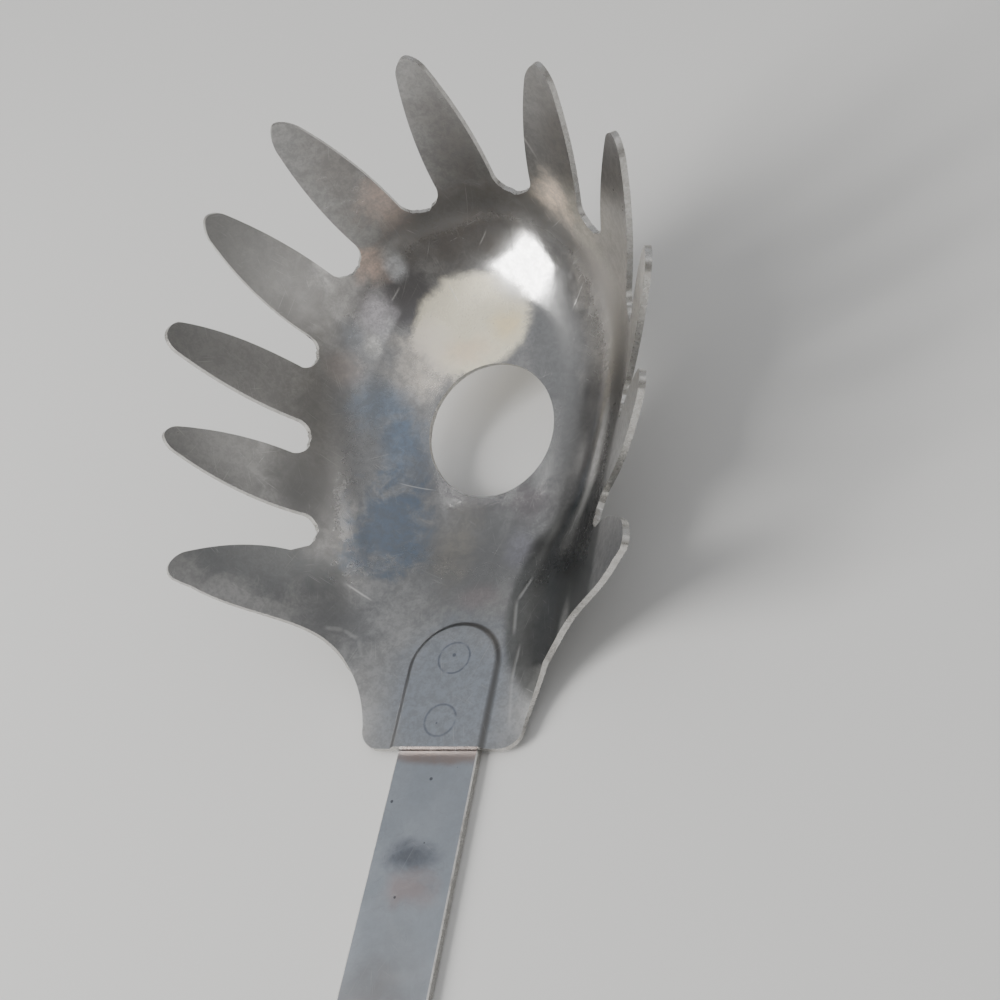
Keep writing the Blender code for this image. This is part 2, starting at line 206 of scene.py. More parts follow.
@dataclass(frozen=True)
class Press:
    """The press tool: it takes a point of the flat blank to its place in the bowl, the neck and the pocket."""

    floor_half_width: float = 0.0123
    bend_radius: float = 0.0190
    wall_slope: float = np.radians(64.4)
    front_centre: float = 0.00965
    neck_bend_start: float = 0.0129
    neck_bend_radius: float = 0.0264
    neck_slope: float = NECK_SLOPE
    neck_length: float = 0.0580
    throat_half_width: float = 0.0056
    throat_end: float = 0.0331
    rear_slope: float = np.radians(48.1)
    rear_slope_end: float = 0.0510
    flange_start: float = 0.0442
    flange_end: float = 0.0565
    flange_fade: float = 1.3
    pocket_length: float = 0.0224
    pocket_half_width: float = 0.0085
    pocket_wall: float = 0.0013
    pocket_rise: float = 0.0008

    @property
    def pocket_centre(self) -> float:
        """Place along the blank of the centre of the pocket's round front."""
        return -self.neck_length + self.pocket_length - self.pocket_half_width

    def section(self, reach: Array, floor: Array, slope: Array) -> tuple[Array, Array]:
        """Carry a reach over a flat floor, round an arc and up a straight slope.

        The angle turned is the reach past the floor over the radius, from 0 to the slope. What is left of the
        reach runs straight up the slope.

        Args:
            reach: Distance along the sheet from the spine.
            floor: Half width of the flat floor.
            slope: Final slope of the wall.

        Returns:
            Plan distance and height.
        """
        angle = np.clip((reach - floor) / self.bend_radius, 0.0, slope)
        straight = np.maximum(reach - floor - self.bend_radius * slope, 0.0)
        plan = np.minimum(reach, floor) + self.bend_radius * np.sin(angle) + straight * np.cos(slope)
        return plan, self.bend_radius * (1.0 - np.cos(angle)) + straight * np.sin(slope)

    def front(self, reach: Array) -> tuple[Array, Array]:
        """Plan distance and height of a reach up the front wall."""
        return self.section(reach, self.floor_half_width, self.wall_slope)

    def pocket_share(self, across: Array, along: Array) -> Array:
        """Share of the way up the pocket's wall, inwards from its round-ended outline."""
        outside = np.hypot(across, np.maximum(along - self.pocket_centre, 0.0))
        return np.clip((self.pocket_half_width - outside) / self.pocket_wall, 0.0, 1.0)

    def pressed(self, blank: Array) -> Array:
        """Press blank points, in the frame of the flat floor.

        Ahead of the front centre the section is swept round that centre. Behind it the section runs along the
        spine, which bends up into the neck, while the floor narrows and the walls open out and then fade away.

        Args:
            blank: Points (across, along), one a row.

        Returns:
            Pressed points, one a row.
        """
        side = np.sign(blank[:, 0])
        across = np.abs(blank[:, 0])
        along = blank[:, 1]
        ahead = along - self.front_centre
        reach = np.hypot(across, ahead)
        plan, wall = self.front(reach)
        share = plan / np.maximum(reach, WELD_DISTANCE)
        front = np.stack([side * across * share, self.front_centre + ahead * share, wall], axis=-1)

        back = np.maximum(-along - self.neck_bend_start, 0.0)
        turn = np.minimum(back / self.neck_bend_radius, self.neck_slope)
        straight = np.maximum(back - self.neck_bend_radius * self.neck_slope, 0.0)
        place = np.maximum(along, -self.neck_bend_start) - self.neck_bend_radius * np.sin(turn)
        place = place - straight * np.cos(self.neck_slope)
        height = self.neck_bend_radius * (1.0 - np.cos(turn)) + straight * np.sin(self.neck_slope)
        narrowing = eased(-self.front_centre, self.throat_end, -along)
        opening = eased(-self.front_centre, self.rear_slope_end, -along)
        floor = self.floor_half_width + (self.throat_half_width - self.floor_half_width) * narrowing
        slope = self.wall_slope + (self.rear_slope - self.wall_slope) * opening
        plan, wall = self.section(across, floor, slope)
        fade = np.clip((self.flange_end + along) / (self.flange_end - self.flange_start), 0.0, 1.0)
        fade = fade ** self.flange_fade
        rise = self.pocket_rise * eased(0.0, 1.0, self.pocket_share(across, along))
        rear = np.stack([
            side * (across + (plan - across) * fade),
            place + rise * np.sin(turn),
            height + rise * np.cos(turn) + wall * fade,
        ], axis=-1)
        return np.where((ahead > 0.0)[:, None], front, rear)


@dataclass(frozen=True)
class Tooth:
    """One tooth. Its root and tip are places along the rim line, measured back from the front tooth.

    The half widths are those at the rim line and under the nose. The sides bulge between them, and the nose is
    an ellipse of its own length.
    """

    root: float
    tip: float
    reach: float
    root_half: float
    tip_half: float
    bulge: float
    nose: float


@dataclass(frozen=True)
class Rim:
    """The toothed rim of the blank, in reach from the spine and place back along the rim line."""

    press: Press
    line: float = 0.0312
    gap_reach: float = 0.0336
    rear_gap_reach: float = 0.0301
    gap_rounds: int = 8
    draw_fade: float = 0.0040
    burr: float = 0.07
    shoulder: float = np.radians(62.0)
    flank_reach: float = 0.0473
    flank_handle: Pair = (-0.0147, -0.0061)
    neck_handle: Pair = (0.0044, 0.0212)
    neck_half_width: float = 0.0142
    corner_radius: float = 0.0037
    teeth: tuple[Tooth, ...] = (
        Tooth(0.0, 0.0, 0.0615, 0.00508, 0.0018, 0.00154, 0.0026),
        Tooth(0.0165, 0.0171, 0.0622, 0.0048, 0.00186, 0.00156, 0.0036),
        Tooth(0.0333, 0.0300, 0.0617, 0.00537, 0.00175, 0.00164, 0.0025),
        Tooth(0.0492, 0.0441, 0.06215, 0.00447, 0.00155, 0.00147, 0.002),
        Tooth(0.0657, 0.0611, 0.05986, 0.00481, 0.0014, 0.00156, 0.0019),
        Tooth(0.0820, 0.0832, 0.05214, 0.00395, 0.00174, 0.00187, 0.0015),
    )

    @property
    def radius(self) -> float:
        """Plan radius of the rim line round the front centre."""
        return float(self.press.front(self.line)[0])

    @property
    def quarter(self) -> float:
        """Length of the rim line from the front tooth to where it runs straight back."""
        return self.radius * QUARTER_TURN

    def blank(self, rim_points: Array) -> Array:
        """Turn (reach, back) into blank points: a quarter circle round the front centre, then straight back.

        Args:
            rim_points: Array whose last axis is (reach, back).

        Returns:
            Array of the same shape with (across, along).
        """
        reach, back = rim_points[..., 0], rim_points[..., 1]
        front = polar(reach, np.minimum(back, self.quarter) / self.radius, self.press.front_centre)
        side = np.stack([reach, self.press.front_centre + self.quarter - back], axis=-1)
        return np.where((back < self.quarter)[..., None], front, side)

    def from_side(self, points: Array) -> Array:
        """Turn blank points beside the spine into (reach, back)."""
        return np.stack([points[:, 0], self.press.front_centre + self.quarter - points[:, 1]], axis=-1)

    def share(self, tooth: Tooth, reach: Array) -> Array:
        """Share of the way from the rim line to a tooth's tip."""
        return (reach - self.line) / (tooth.reach - self.line)

    def scale(self, reach: Array, back: Array) -> Array:
        """Length on the rim line for a unit of width at a reach: the press draws the front in."""
        drawn = eased(self.quarter, self.quarter - self.draw_fade, back)
        return 1.0 + (self.radius / self.press.front(reach)[0] - 1.0) * drawn

    def widen(self, tooth: Tooth, reach: Array, half: Array) -> Array:
        """Rim points (reach, back) at signed half widths beside a tooth's straight centre line."""
        centre = tooth.root + (tooth.tip - tooth.root) * self.share(tooth, reach)
        return np.stack([reach, centre + half * self.scale(reach, centre)], axis=-1)

    def half_width(self, tooth: Tooth, reach: Array) -> Array:
        """Half width of a tooth's body: straight from root to tip, and a parabola over it for the bulge."""
        share, taper = self.share(tooth, reach), tooth.tip_half - tooth.root_half
        return tooth.root_half + taper * share + 4.0 * tooth.bulge * share * (1.0 - share)

    def edge(self, tooth: Tooth, side: int, reach: Array) -> Array:
        """Rim points up a tooth's edge, side -1 towards the front tooth or 1, ending in an elliptic nose."""
        turned = np.clip(1.0 - (tooth.reach - reach) / tooth.nose, 0.0, 1.0)
        return self.widen(tooth, reach, side * self.half_width(tooth, reach) * np.sqrt(1.0 - turned * turned))

    def nose(self, tooth: Tooth, turns: Array) -> Array:
        """Rim points round the nose's ellipse, at turns from the very tip, negative towards the front tooth."""
        reach = tooth.reach - tooth.nose * (1.0 - np.cos(turns))
        return self.widen(tooth, reach, self.half_width(tooth, reach) * np.sin(turns))

    def shoulder_reach(self, tooth: Tooth) -> float:
        """Reach at which the sides of a tooth end and its nose begins."""
        return tooth.reach - tooth.nose * (1.0 - np.cos(self.shoulder))

    def gap(self, front: Tooth, rear: Tooth, floor: float, steps: int) -> Array:
        """Round bottom between two teeth. Its radius is half their distance at its own centre, found in rounds.

        Args:
            front: Tooth on the front side.
            rear: Tooth on the rear side.
            floor: Reach of the bottom.
            steps: Number of intervals.

        Returns:
            Rim points (reach, back) from the front tooth's edge to the rear one's.
        """
        radius = 0.0
        for _ in range(self.gap_rounds):
            centre = floor + radius
            start = self.edge(front, 1, centre)[1]
            end = self.edge(rear, -1, centre)[1]
            radius = (end - start) / 2 / float(self.scale(centre, start))
        turns = np.linspace(0.0, np.pi, steps + 1)
        depth = radius * np.sin(turns) * (1.0 + self.burr * np.sin(turns) * self.ragged(turns, front.root))
        return np.stack([centre - depth, (start + end) / 2 - (end - start) / 2 * np.cos(turns)], axis=-1)

    @staticmethod
    def ragged(turns: Array, seed: float) -> Array:
        """Uneven shear line from about -1 to 1: a sum of waves whose phases come from the gap's own seed."""
        waves, phases, shares = BURR_WAVES.T
        return (np.sin(turns[:, None] * waves + phases * seed) * shares).sum(axis=1)

    def flank(self, t: Array) -> Array:
        """Blank points down the hollow flank, from the rear tooth's foot to the neck's corner.

        Args:
            t: Curve parameters from 0 to 1.

        Returns:
            Blank points, one a row.
        """
        foot = self.blank(self.edge(self.teeth[-1], 1, self.flank_reach))
        corner = np.array([self.neck_half_width, -self.press.neck_length + self.corner_radius])
        return bezier(foot, foot + self.flank_handle, corner + self.neck_handle, corner, t)


@dataclass
class SheetPiece:
    """A piece cut from sheet: a flat pattern, given its shape, its thickness and soft cut edges."""

    name: str
    thickness: float
    edge_radius: float

    BEVEL_STEPS = 3
    BEVEL_ANGLE = np.radians(50.0)

    def shape(self, blank: Array) -> Array:
        """Take blank points to the upper face of the finished piece."""
        raise NotImplementedError

    def pattern(self) -> FlatPattern:
        """The half blank as grids."""
        raise NotImplementedError

    def build(self) -> Object:
        """Make the piece's object, with its UV map on the blank, and its dullness and its tarnish and painted
        shade as attributes.

        Returns:
            The object, with Solidify and Bevel still live.
        """
        blank, faces = self.pattern().whole()
        mesh = bpy.data.meshes.new(self.name)
        mesh.from_pydata(self.shape(blank).tolist(), [], [face.tolist() for face in faces])
        mesh.update()
        corner = np.empty(len(mesh.loops), dtype=np.int32)
        mesh.loops.foreach_get("vertex_index", corner)
        layer = mesh.uv_layers.new(name="blank")
        layer.data.foreach_set("uv", (blank[corner] * UV_SCALE).astype(np.float32).ravel())
        for name, values in (("satin", self.satin(blank)), ("tarnish_and_shade", self.tarnish_and_shade(blank))):
            mesh.attributes.new(name, "FLOAT", "POINT").data.foreach_set("value", values.astype(np.float32))
        mesh.shade_smooth()
        item = placed(self.name, mesh)
        wall = item.modifiers.new("sheet", "SOLIDIFY")
        wall.thickness = self.thickness
        wall.offset = -1.0
        wall.use_even_offset = True
        wall.material_offset_rim = Layer.CUT_EDGE.value
        soft = item.modifiers.new("soft_edges", "BEVEL")
        soft.width = self.edge_radius
        soft.segments = self.BEVEL_STEPS
        soft.limit_method = "ANGLE"
        soft.angle_limit = self.BEVEL_ANGLE
        soft.harden_normals = True
        soft.material = Layer.CORNER.value
        LOG.info("%s: %d points, %d faces before its thickness", self.name, len(blank), len(faces))
        return item

    def satin(self, blank: Array) -> Array:
        """How dull each blank point's surface is, from 0 for polished to 1 for satin."""
        return np.ones(len(blank))

    def tarnish_and_shade(self, blank: Array) -> Array:
        """How much tarnish and painted shade each blank point has, from 0 to 1."""
        return np.zeros(len(blank))


@dataclass
class PressedHead(SheetPiece):
    """The toothed head, pressed from one blank and tilted so that its neck lies in the handle's plane."""

    press: Press
    rim: Rim
    hole_radius: float = 0.0120
    front_y: float = 0.1550
    neck_top: float = 0.0020
    flank_split: float = 0.66
    polish_reach: float = 0.0240
    satin_reach: float = 0.0370
    satin_neck: float = -0.0360
    # The band of tarnish and painted shade: where it rises and fades, its drift on the right, and its fades at
    # the rear and on the left.
    tarnish_and_shade_reach: Triple = (0.0262, 0.0322, 0.0400)
    tarnish_and_shade_drift: float = 0.0052
    tarnish_and_shade_right: Pair = (0.008, 0.020)
    tarnish_and_shade_rear: Pair = (-0.030, -0.005)
    tarnish_and_shade_left: Pair = (-0.010, -0.024)
    tarnish_and_shade_left_loss: float = 0.75
    chord_steps: int = 18
    last_chord_steps: int = 26
    tooth_steps: int = 44
    foot_steps: int = 6
    gap_steps: int = 30
    floor_steps: int = 42
    border_steps: tuple[int, int] = (8, 16)
    corner_steps: int = 10
    ring_steps: tuple[int, int, int] = (8, 9, 34)

    LEVEL_SAMPLES = 400

    def tilt(self, points: Array) -> Array:
        """Turn points about X by the neck's slope, so that the neck is level."""
        return points @ lean(self.press.neck_slope).T

    @property
    def shift(self) -> Array:
        """Move that brings the front tooth's outer tip and the neck's top to their places.

        Returns:
            The move.
        """
        press = self.press
        plan, height = press.front(self.rim.teeth[0].reach)
        outwards = self.thickness * np.array([0.0, np.sin(press.wall_slope), -np.cos(press.wall_slope)])
        tip = self.tilt(np.array([0.0, press.front_centre + plan, height]) + outwards)
        end = self.tilt(press.pressed(np.array([[0.0, -press.neck_length]])))[0]
        return np.array([0.0, self.front_y - tip[1], self.neck_top - (end[2] - press.pocket_rise)])

    def shape(self, blank: Array) -> Array:
        """Press the blank, tilt it and move it to its place."""
        return self.tilt(self.press.pressed(blank)) + self.shift

    def satin(self, blank: Array) -> Array:
        """The bowl is polished, and the teeth and the neck are satin, eased in between."""
        teeth = eased(self.polish_reach, self.satin_reach, self.reach(blank))
        return np.maximum(teeth, eased(-self.hole_radius, self.satin_neck, blank[:, 1]))

    def reach(self, blank: Array) -> Array:
        """Distance of each blank point from the spine along the sheet."""
        return np.hypot(blank[:, 0], np.maximum(blank[:, 1] - self.press.front_centre, 0.0))

    def tarnish_and_shade(self, blank: Array) -> Array:
        """Tarnish and painted shade in a band where the wall's bend ends, and painted shade as a parabola
        across the pocket's wall.

        The band fades behind the hole and on the left, and lies lower on the right.

        Args:
            blank: Points (across, along).

        Returns:
            Tarnish and painted shade from 0 to 1.
        """
        reach = self.reach(blank) + self.tarnish_and_shade_drift * eased(*self.tarnish_and_shade_right, blank[:, 0])
        low, middle, high = self.tarnish_and_shade_reach
        band = eased(low, middle, reach) * (1.0 - eased(middle, high, reach))
        band = band * eased(*self.tarnish_and_shade_rear, blank[:, 1])
        band = band * (1.0 - self.tarnish_and_shade_left_loss * eased(*self.tarnish_and_shade_left, blank[:, 0]))
        share = self.press.pocket_share(blank[:, 0], blank[:, 1])
        return np.maximum(band, 4.0 * share * (1.0 - share))

    def rear_flank(self) -> tuple[Array, Array]:
        """Split the hollow flank at the rear tooth's root and at the pocket's centre.

        Returns:
            Parameters from the split to the pocket's centre, and from there to the neck's corner.
        """
        t = np.linspace(self.flank_split, 1.0, self.LEVEL_SAMPLES)
        level = float(np.interp(-self.press.pocket_centre, -self.rim.flank(t)[:, 1], t))
        upper, lower = self.border_steps
        return np.linspace(self.flank_split, level, upper + 1), np.linspace(level, 1.0, lower + 1)

    def tooth_grids(self, gaps: list[Array]) -> tuple[list[Array], list[Array]]:
        """Grids of the teeth from root chord to nose, and the chords.

        The front tooth starts at its centre line, and the rear one ends on the hollow flank.

        Args:
            gaps: Bottoms of the gaps, as rim points.

        Returns:
            The grids in blank coordinates, and the chords as rim points from front to rear.
        """
        rim = self.rim
        grids, chords = [], []
        share = np.linspace(0.0, 1.0, self.tooth_steps + 1)
        flank_t = np.linspace(self.flank_split, 0.0, self.tooth_steps + 1 - self.foot_steps)
        flank = rim.from_side(rim.flank(flank_t))
        starts = [np.array([gaps[0][0, 0], 0.0])] + [gap[-1] for gap in gaps]
        ends = [gap[0] for gap in gaps] + [flank[0]]
        steps = [self.chord_steps // 2] + [self.chord_steps] * (len(gaps) - 1) + [self.last_chord_steps]
        for tooth, start, end, count in zip(rim.teeth, starts, ends, steps):
            shoulder = rim.shoulder_reach(tooth)
            turn = rim.shoulder
            left = rim.edge(tooth, -1, start[0] + (shoulder - start[0]) * share)
            right = rim.edge(tooth, 1, end[0] + (shoulder - end[0]) * share)
            if not chords:
                turn = 0.0
                left = np.stack([start[0] + (tooth.reach - start[0]) * share, 0.0 * share], axis=-1)
            if tooth is rim.teeth[-1]:
                foot = rim.edge(tooth, 1, np.linspace(rim.flank_reach, shoulder, self.foot_steps + 1))
                right = np.concatenate([flank, foot[1:]])
            chords.append(between(start, end, count))
            top = rim.nose(tooth, np.linspace(-turn, rim.shoulder, count + 1))
            grids.append(rim.blank(coons(chords[-1], top, left, right)))
        return grids, chords

    def pattern(self) -> FlatPattern:
        """The half blank: teeth, floor and walls round the hole, the fan before the pocket, and the neck.

        Returns:
            The grids, which share their points where they meet.
        """
        press, rim = self.press, self.rim
        pattern = FlatPattern()
        pairs = list(zip(rim.teeth, rim.teeth[1:]))
        floors = [rim.gap_reach] * (len(pairs) - 1) + [rim.rear_gap_reach]
        gaps = [rim.gap(front, rear, floor, self.gap_steps) for (front, rear), floor in zip(pairs, floors)]
        grids, chords = self.tooth_grids(gaps)
        for grid in grids:
            pattern.add(grid)

        runs = [chords[0]]
        for gap, chord in zip(gaps, chords[1:]):
            runs += [gap[1:], chord[1:]]
        outer = rim.blank(np.concatenate(runs))
        angle = np.arctan2(outer[:, 0], outer[:, 1])
        inner = polar(self.hole_radius, np.maximum.accumulate(angle) * np.pi / angle.max())
        inner[0, 0] = inner[-1, 0] = 0.0
        bowl = ruled(inner, outer, self.floor_steps)
        pattern.add(bowl)

        to_level, to_corner = self.rear_flank()
        border = np.concatenate([bowl[-1], rim.flank(to_level)[1:]])
        pole = np.array([0.0, press.pocket_centre])
        heading = border - pole
        heading /= np.linalg.norm(heading, axis=1)[:, None]
        heading[-1] = (1.0, 0.0)
        widths = (press.pocket_half_width - press.pocket_wall, press.pocket_half_width)
        rings = [np.tile(pole, (len(border), 1)), *(pole + heading * width for width in widths), border]

        turns = np.linspace(0.0, QUARTER_TURN, self.corner_steps + 1)[1:]
        bend = np.stack([
            rim.neck_half_width - rim.corner_radius * (1.0 - np.cos(turns)),
            -press.neck_length + rim.corner_radius * (1.0 - np.sin(turns)),
        ], axis=-1)
        side = np.concatenate([rim.flank(to_corner), bend])
        side[0] = border[-1]
        spine = side * (0.0, 1.0)
        for curves in (rings, [spine, *(spine + (width, 0.0) for width in widths), side]):
            for first, last, count in zip(curves, curves[1:], self.ring_steps):
                pattern.add(ruled(first, last, count))
        return pattern


@dataclass
class StrapHandle(SheetPiece):
    """The flat strap: a round front end in the pocket, and a wider round rear end with a hanging hole."""

    front: float
    neck_end: float
    rear: float = -0.1550
    neck_half_width: float = 0.0070
    rear_half_width: float = 0.0085
    hole_radius: float = 0.0040
    hole_inset: float = 0.0095
    ring_room: float = 0.0110
    columns: int = 12
    ring_columns: int = 8
    round_steps: int = 16
    seat_rows: int = 12
    run_rows: int = 130
    side_rows: int = 9

    def shape(self, blank: Array) -> Array:
        """Lay the blank on top of its thickness, which rests on z = 0."""
        return np.column_stack([blank, np.full(len(blank), self.thickness)])

    def half_width(self, y: Array) -> Array:
        """Half width at a place: even to the neck's end, then widening evenly to the rear round."""
        share = np.clip((self.neck_end - y) / (self.neck_end - (self.rear + self.rear_half_width)), 0.0, 1.0)
        return self.neck_half_width + (self.rear_half_width - self.neck_half_width) * share

    def edge(self, y: Array) -> Array:
        """Points down the strap's side."""
        return np.stack([self.half_width(y), y], axis=-1)

    def pattern(self) -> FlatPattern:
        """The half blank: a quarter disc in front, the long run, and a ring round the hanging hole.

        Returns:
            The grids, which share their points where they meet.
        """
        pattern = FlatPattern()
        centre = self.front - self.neck_half_width
        turns = np.linspace(0.0, QUARTER_TURN, self.round_steps + 1)
        arc = polar(self.neck_half_width, turns, centre)
        pattern.add(ruled(np.tile(np.array([0.0, centre]), (len(arc), 1)), arc, self.columns))

        hole_y = self.rear + self.hole_inset
        ring_y = hole_y + self.ring_room
        run = np.linspace(self.neck_end, ring_y, self.run_rows)
        edge = self.edge(np.concatenate([np.linspace(centre, self.neck_end, self.seat_rows), run[1:]]))
        rows = ruled(edge * (0.0, 1.0), edge, self.columns)
        pattern.add(rows)

        rear_centre = self.rear + self.rear_half_width
        side = self.edge(np.linspace(ring_y, rear_centre, self.side_rows)[1:])
        rear = polar(self.rear_half_width, QUARTER_TURN + turns[1:], rear_centre)
        outer = np.concatenate([rows[-1], side, rear])
        inner = polar(self.hole_radius, np.arctan2(outer[:, 0], outer[:, 1] - hole_y), hole_y)
        outer[-1, 0] = inner[0, 0] = inner[-1, 0] = 0.0
        pattern.add(ruled(inner, outer, self.ring_columns))
        return pattern


@dataclass(frozen=True)
class Finish:
    """A procedural steel. Sizes are in metres, and colours are linear."""

    name: str
    colour: Triple
    roughness: float


@dataclass(frozen=True)
class PhotoCamera:
    """Camera fitted to the photo: it looks down on the bowl from the strap's side.

    Its rotation vector and its move, in millimetres, take the head's own frame to the camera's.
    """

    rotation: Triple = (2.812675912701645, -0.0298147477204757, -0.658132922401136)
    move: Triple = (-1.6701727988660837, -12.222991866173517, 241.5327608913747)
    focal_pixels: float = 1400.0
    picture: float = 1000.0
    sensor: float = 36.0
    near: float = 0.01
    head: Triple = (0.0, 0.11825, 0.008004)

    def build(self) -> None:
        """Place the camera by Rodrigues' formula, and make it the scene's."""
        angle = float(np.linalg.norm(self.rotation))
        x, y, z = np.array(self.rotation) / angle
        cross = np.array([[0.0, -z, y], [z, 0.0, -x], [-y, x, 0.0]])
        turn = np.eye(3) + np.sin(angle) * cross + (1.0 - np.cos(angle)) * cross @ cross
        matrix = np.eye(4)
        matrix[:3, :3] = lean(NECK_SLOPE) @ turn.T @ np.diag([1.0, -1.0, -1.0])
        matrix[:3, 3] = lean(NECK_SLOPE) @ (-turn.T @ np.array(self.move)) * MILLIMETRE + self.head
        data = bpy.data.cameras.new("photo_camera")
        data.sensor_width = self.sensor
        data.lens = self.focal_pixels / self.picture * self.sensor
        data.clip_start = self.near
        camera = placed("photo_camera", data)
        camera.matrix_world = Matrix(matrix.tolist())
        bpy.context.scene.camera = camera


class Graph:
    """A node tree, with one short call for each kind of node that the finishes use."""

    def __init__(self, tree: NodeTree) -> None:
        """Work in the tree of a material, a node group or the world."""
        self.tree = tree

    def add(self, kind: str, inputs: dict | None = None, **settings: object) -> Node:
        """Add a node, set it up and feed its inputs.

        Args:
            kind: Blender's name for the node, after ShaderNode.
            inputs: Input names or numbers, with a socket or a constant for each.
            settings: The node's own properties.

        Returns:
            The node.
        """
        node = self.tree.nodes.new(f"ShaderNode{kind}")
        for name, value in settings.items():
            setattr(node, name, value)
        for key, value in (inputs or {}).items():
            self.feed(node.inputs[key], value)
        return node

    def feed(self, socket: NodeSocket, value: object) -> None:
        """Link a socket to another one, or set its constant. A colour of three numbers is opaque.

        Args:
            socket: The input.
            value: An output or a constant.
        """
        if isinstance(value, NodeSocket):
            self.tree.links.new(value, socket)
        else:
            socket.default_value = (*value, 1.0) if socket.type == "RGBA" else value

    def math(self, operation: str, first: object, second: object = 0.0, clamp: bool = False) -> NodeSocket:
        """One arithmetic step."""
        return self.add("Math", {0: first, 1: second}, operation=operation, use_clamp=clamp).outputs[0]

    def product(self, *factors: object) -> NodeSocket:
        """Multiply values together."""
        return reduce(lambda value, factor: self.math("MULTIPLY", value, factor), factors)

    def total(self, *terms: object) -> NodeSocket:
        """Add values together."""
        return reduce(lambda value, term: self.math("ADD", value, term), terms)

    def blend(self, values: Iterable[object], shares: Iterable[float]) -> NodeSocket:
        """Add values together, each at its share."""
        return self.total(*(self.product(value, share) for value, share in zip(values, shares)))

    def off(self, value: object, level: float) -> NodeSocket:
        """How far a value is from a level."""
        return self.math("ABSOLUTE", self.math("SUBTRACT", value, level))

    def vector(self, operation: str, first: object, second: object = (0.0, 0.0, 0.0)) -> NodeSocket:
        """One step on vectors. A length, distance or dot product comes out as a value."""
        node = self.add("VectorMath", {0: first, 1: second}, operation=operation)
        return node.outputs["Value" if operation in ("LENGTH", "DISTANCE", "DOT_PRODUCT") else "Vector"]

    def remap(self, value: object, low: float, high: float, start: float = 0.0, end: float = 1.0) -> NodeSocket:
        """Carry low to high smoothly over to start to end, and hold the ends."""
        inputs = {0: value, 1: low, 2: high, 3: start, 4: end}
        return self.add("MapRange", inputs, interpolation_type="SMOOTHSTEP").outputs[0]

    def mix(self, share: object, first: object, second: object) -> NodeSocket:
        """Mix two colours."""
        return self.add("Mix", {0: share, 6: first, 7: second}, data_type="RGBA").outputs[2]

    def stretch(self, place: object, scale: Triple, turn: float = 0.0) -> NodeSocket:
        """Turn a place about Z, then scale it."""
        turned = self.add("Mapping", {"Vector": place, "Rotation": (0.0, 0.0, turn)}).outputs[0]
        return self.add("Mapping", {"Vector": turned, "Scale": scale}).outputs[0]

    def noise(self, place: object, scale: float, detail: float = 3.0, roughness: float = 0.5,
              twist: float = 0.0) -> NodeSocket:
        """Noise value at a place."""
        look = {"Scale": scale, "Detail": detail, "Roughness": roughness, "Distortion": twist}
        return self.add("TexNoise", {"Vector": place, **look}).outputs[0]


class Effect(Enum):
    """Node groups that the finishes share."""

    SCRATCHES = "scratches"
    GRAIN = "brushed_grain"
    BLOTCHES = "water_blotches"
    SPECKS = "specks"
    MOTTLE = "mottle"


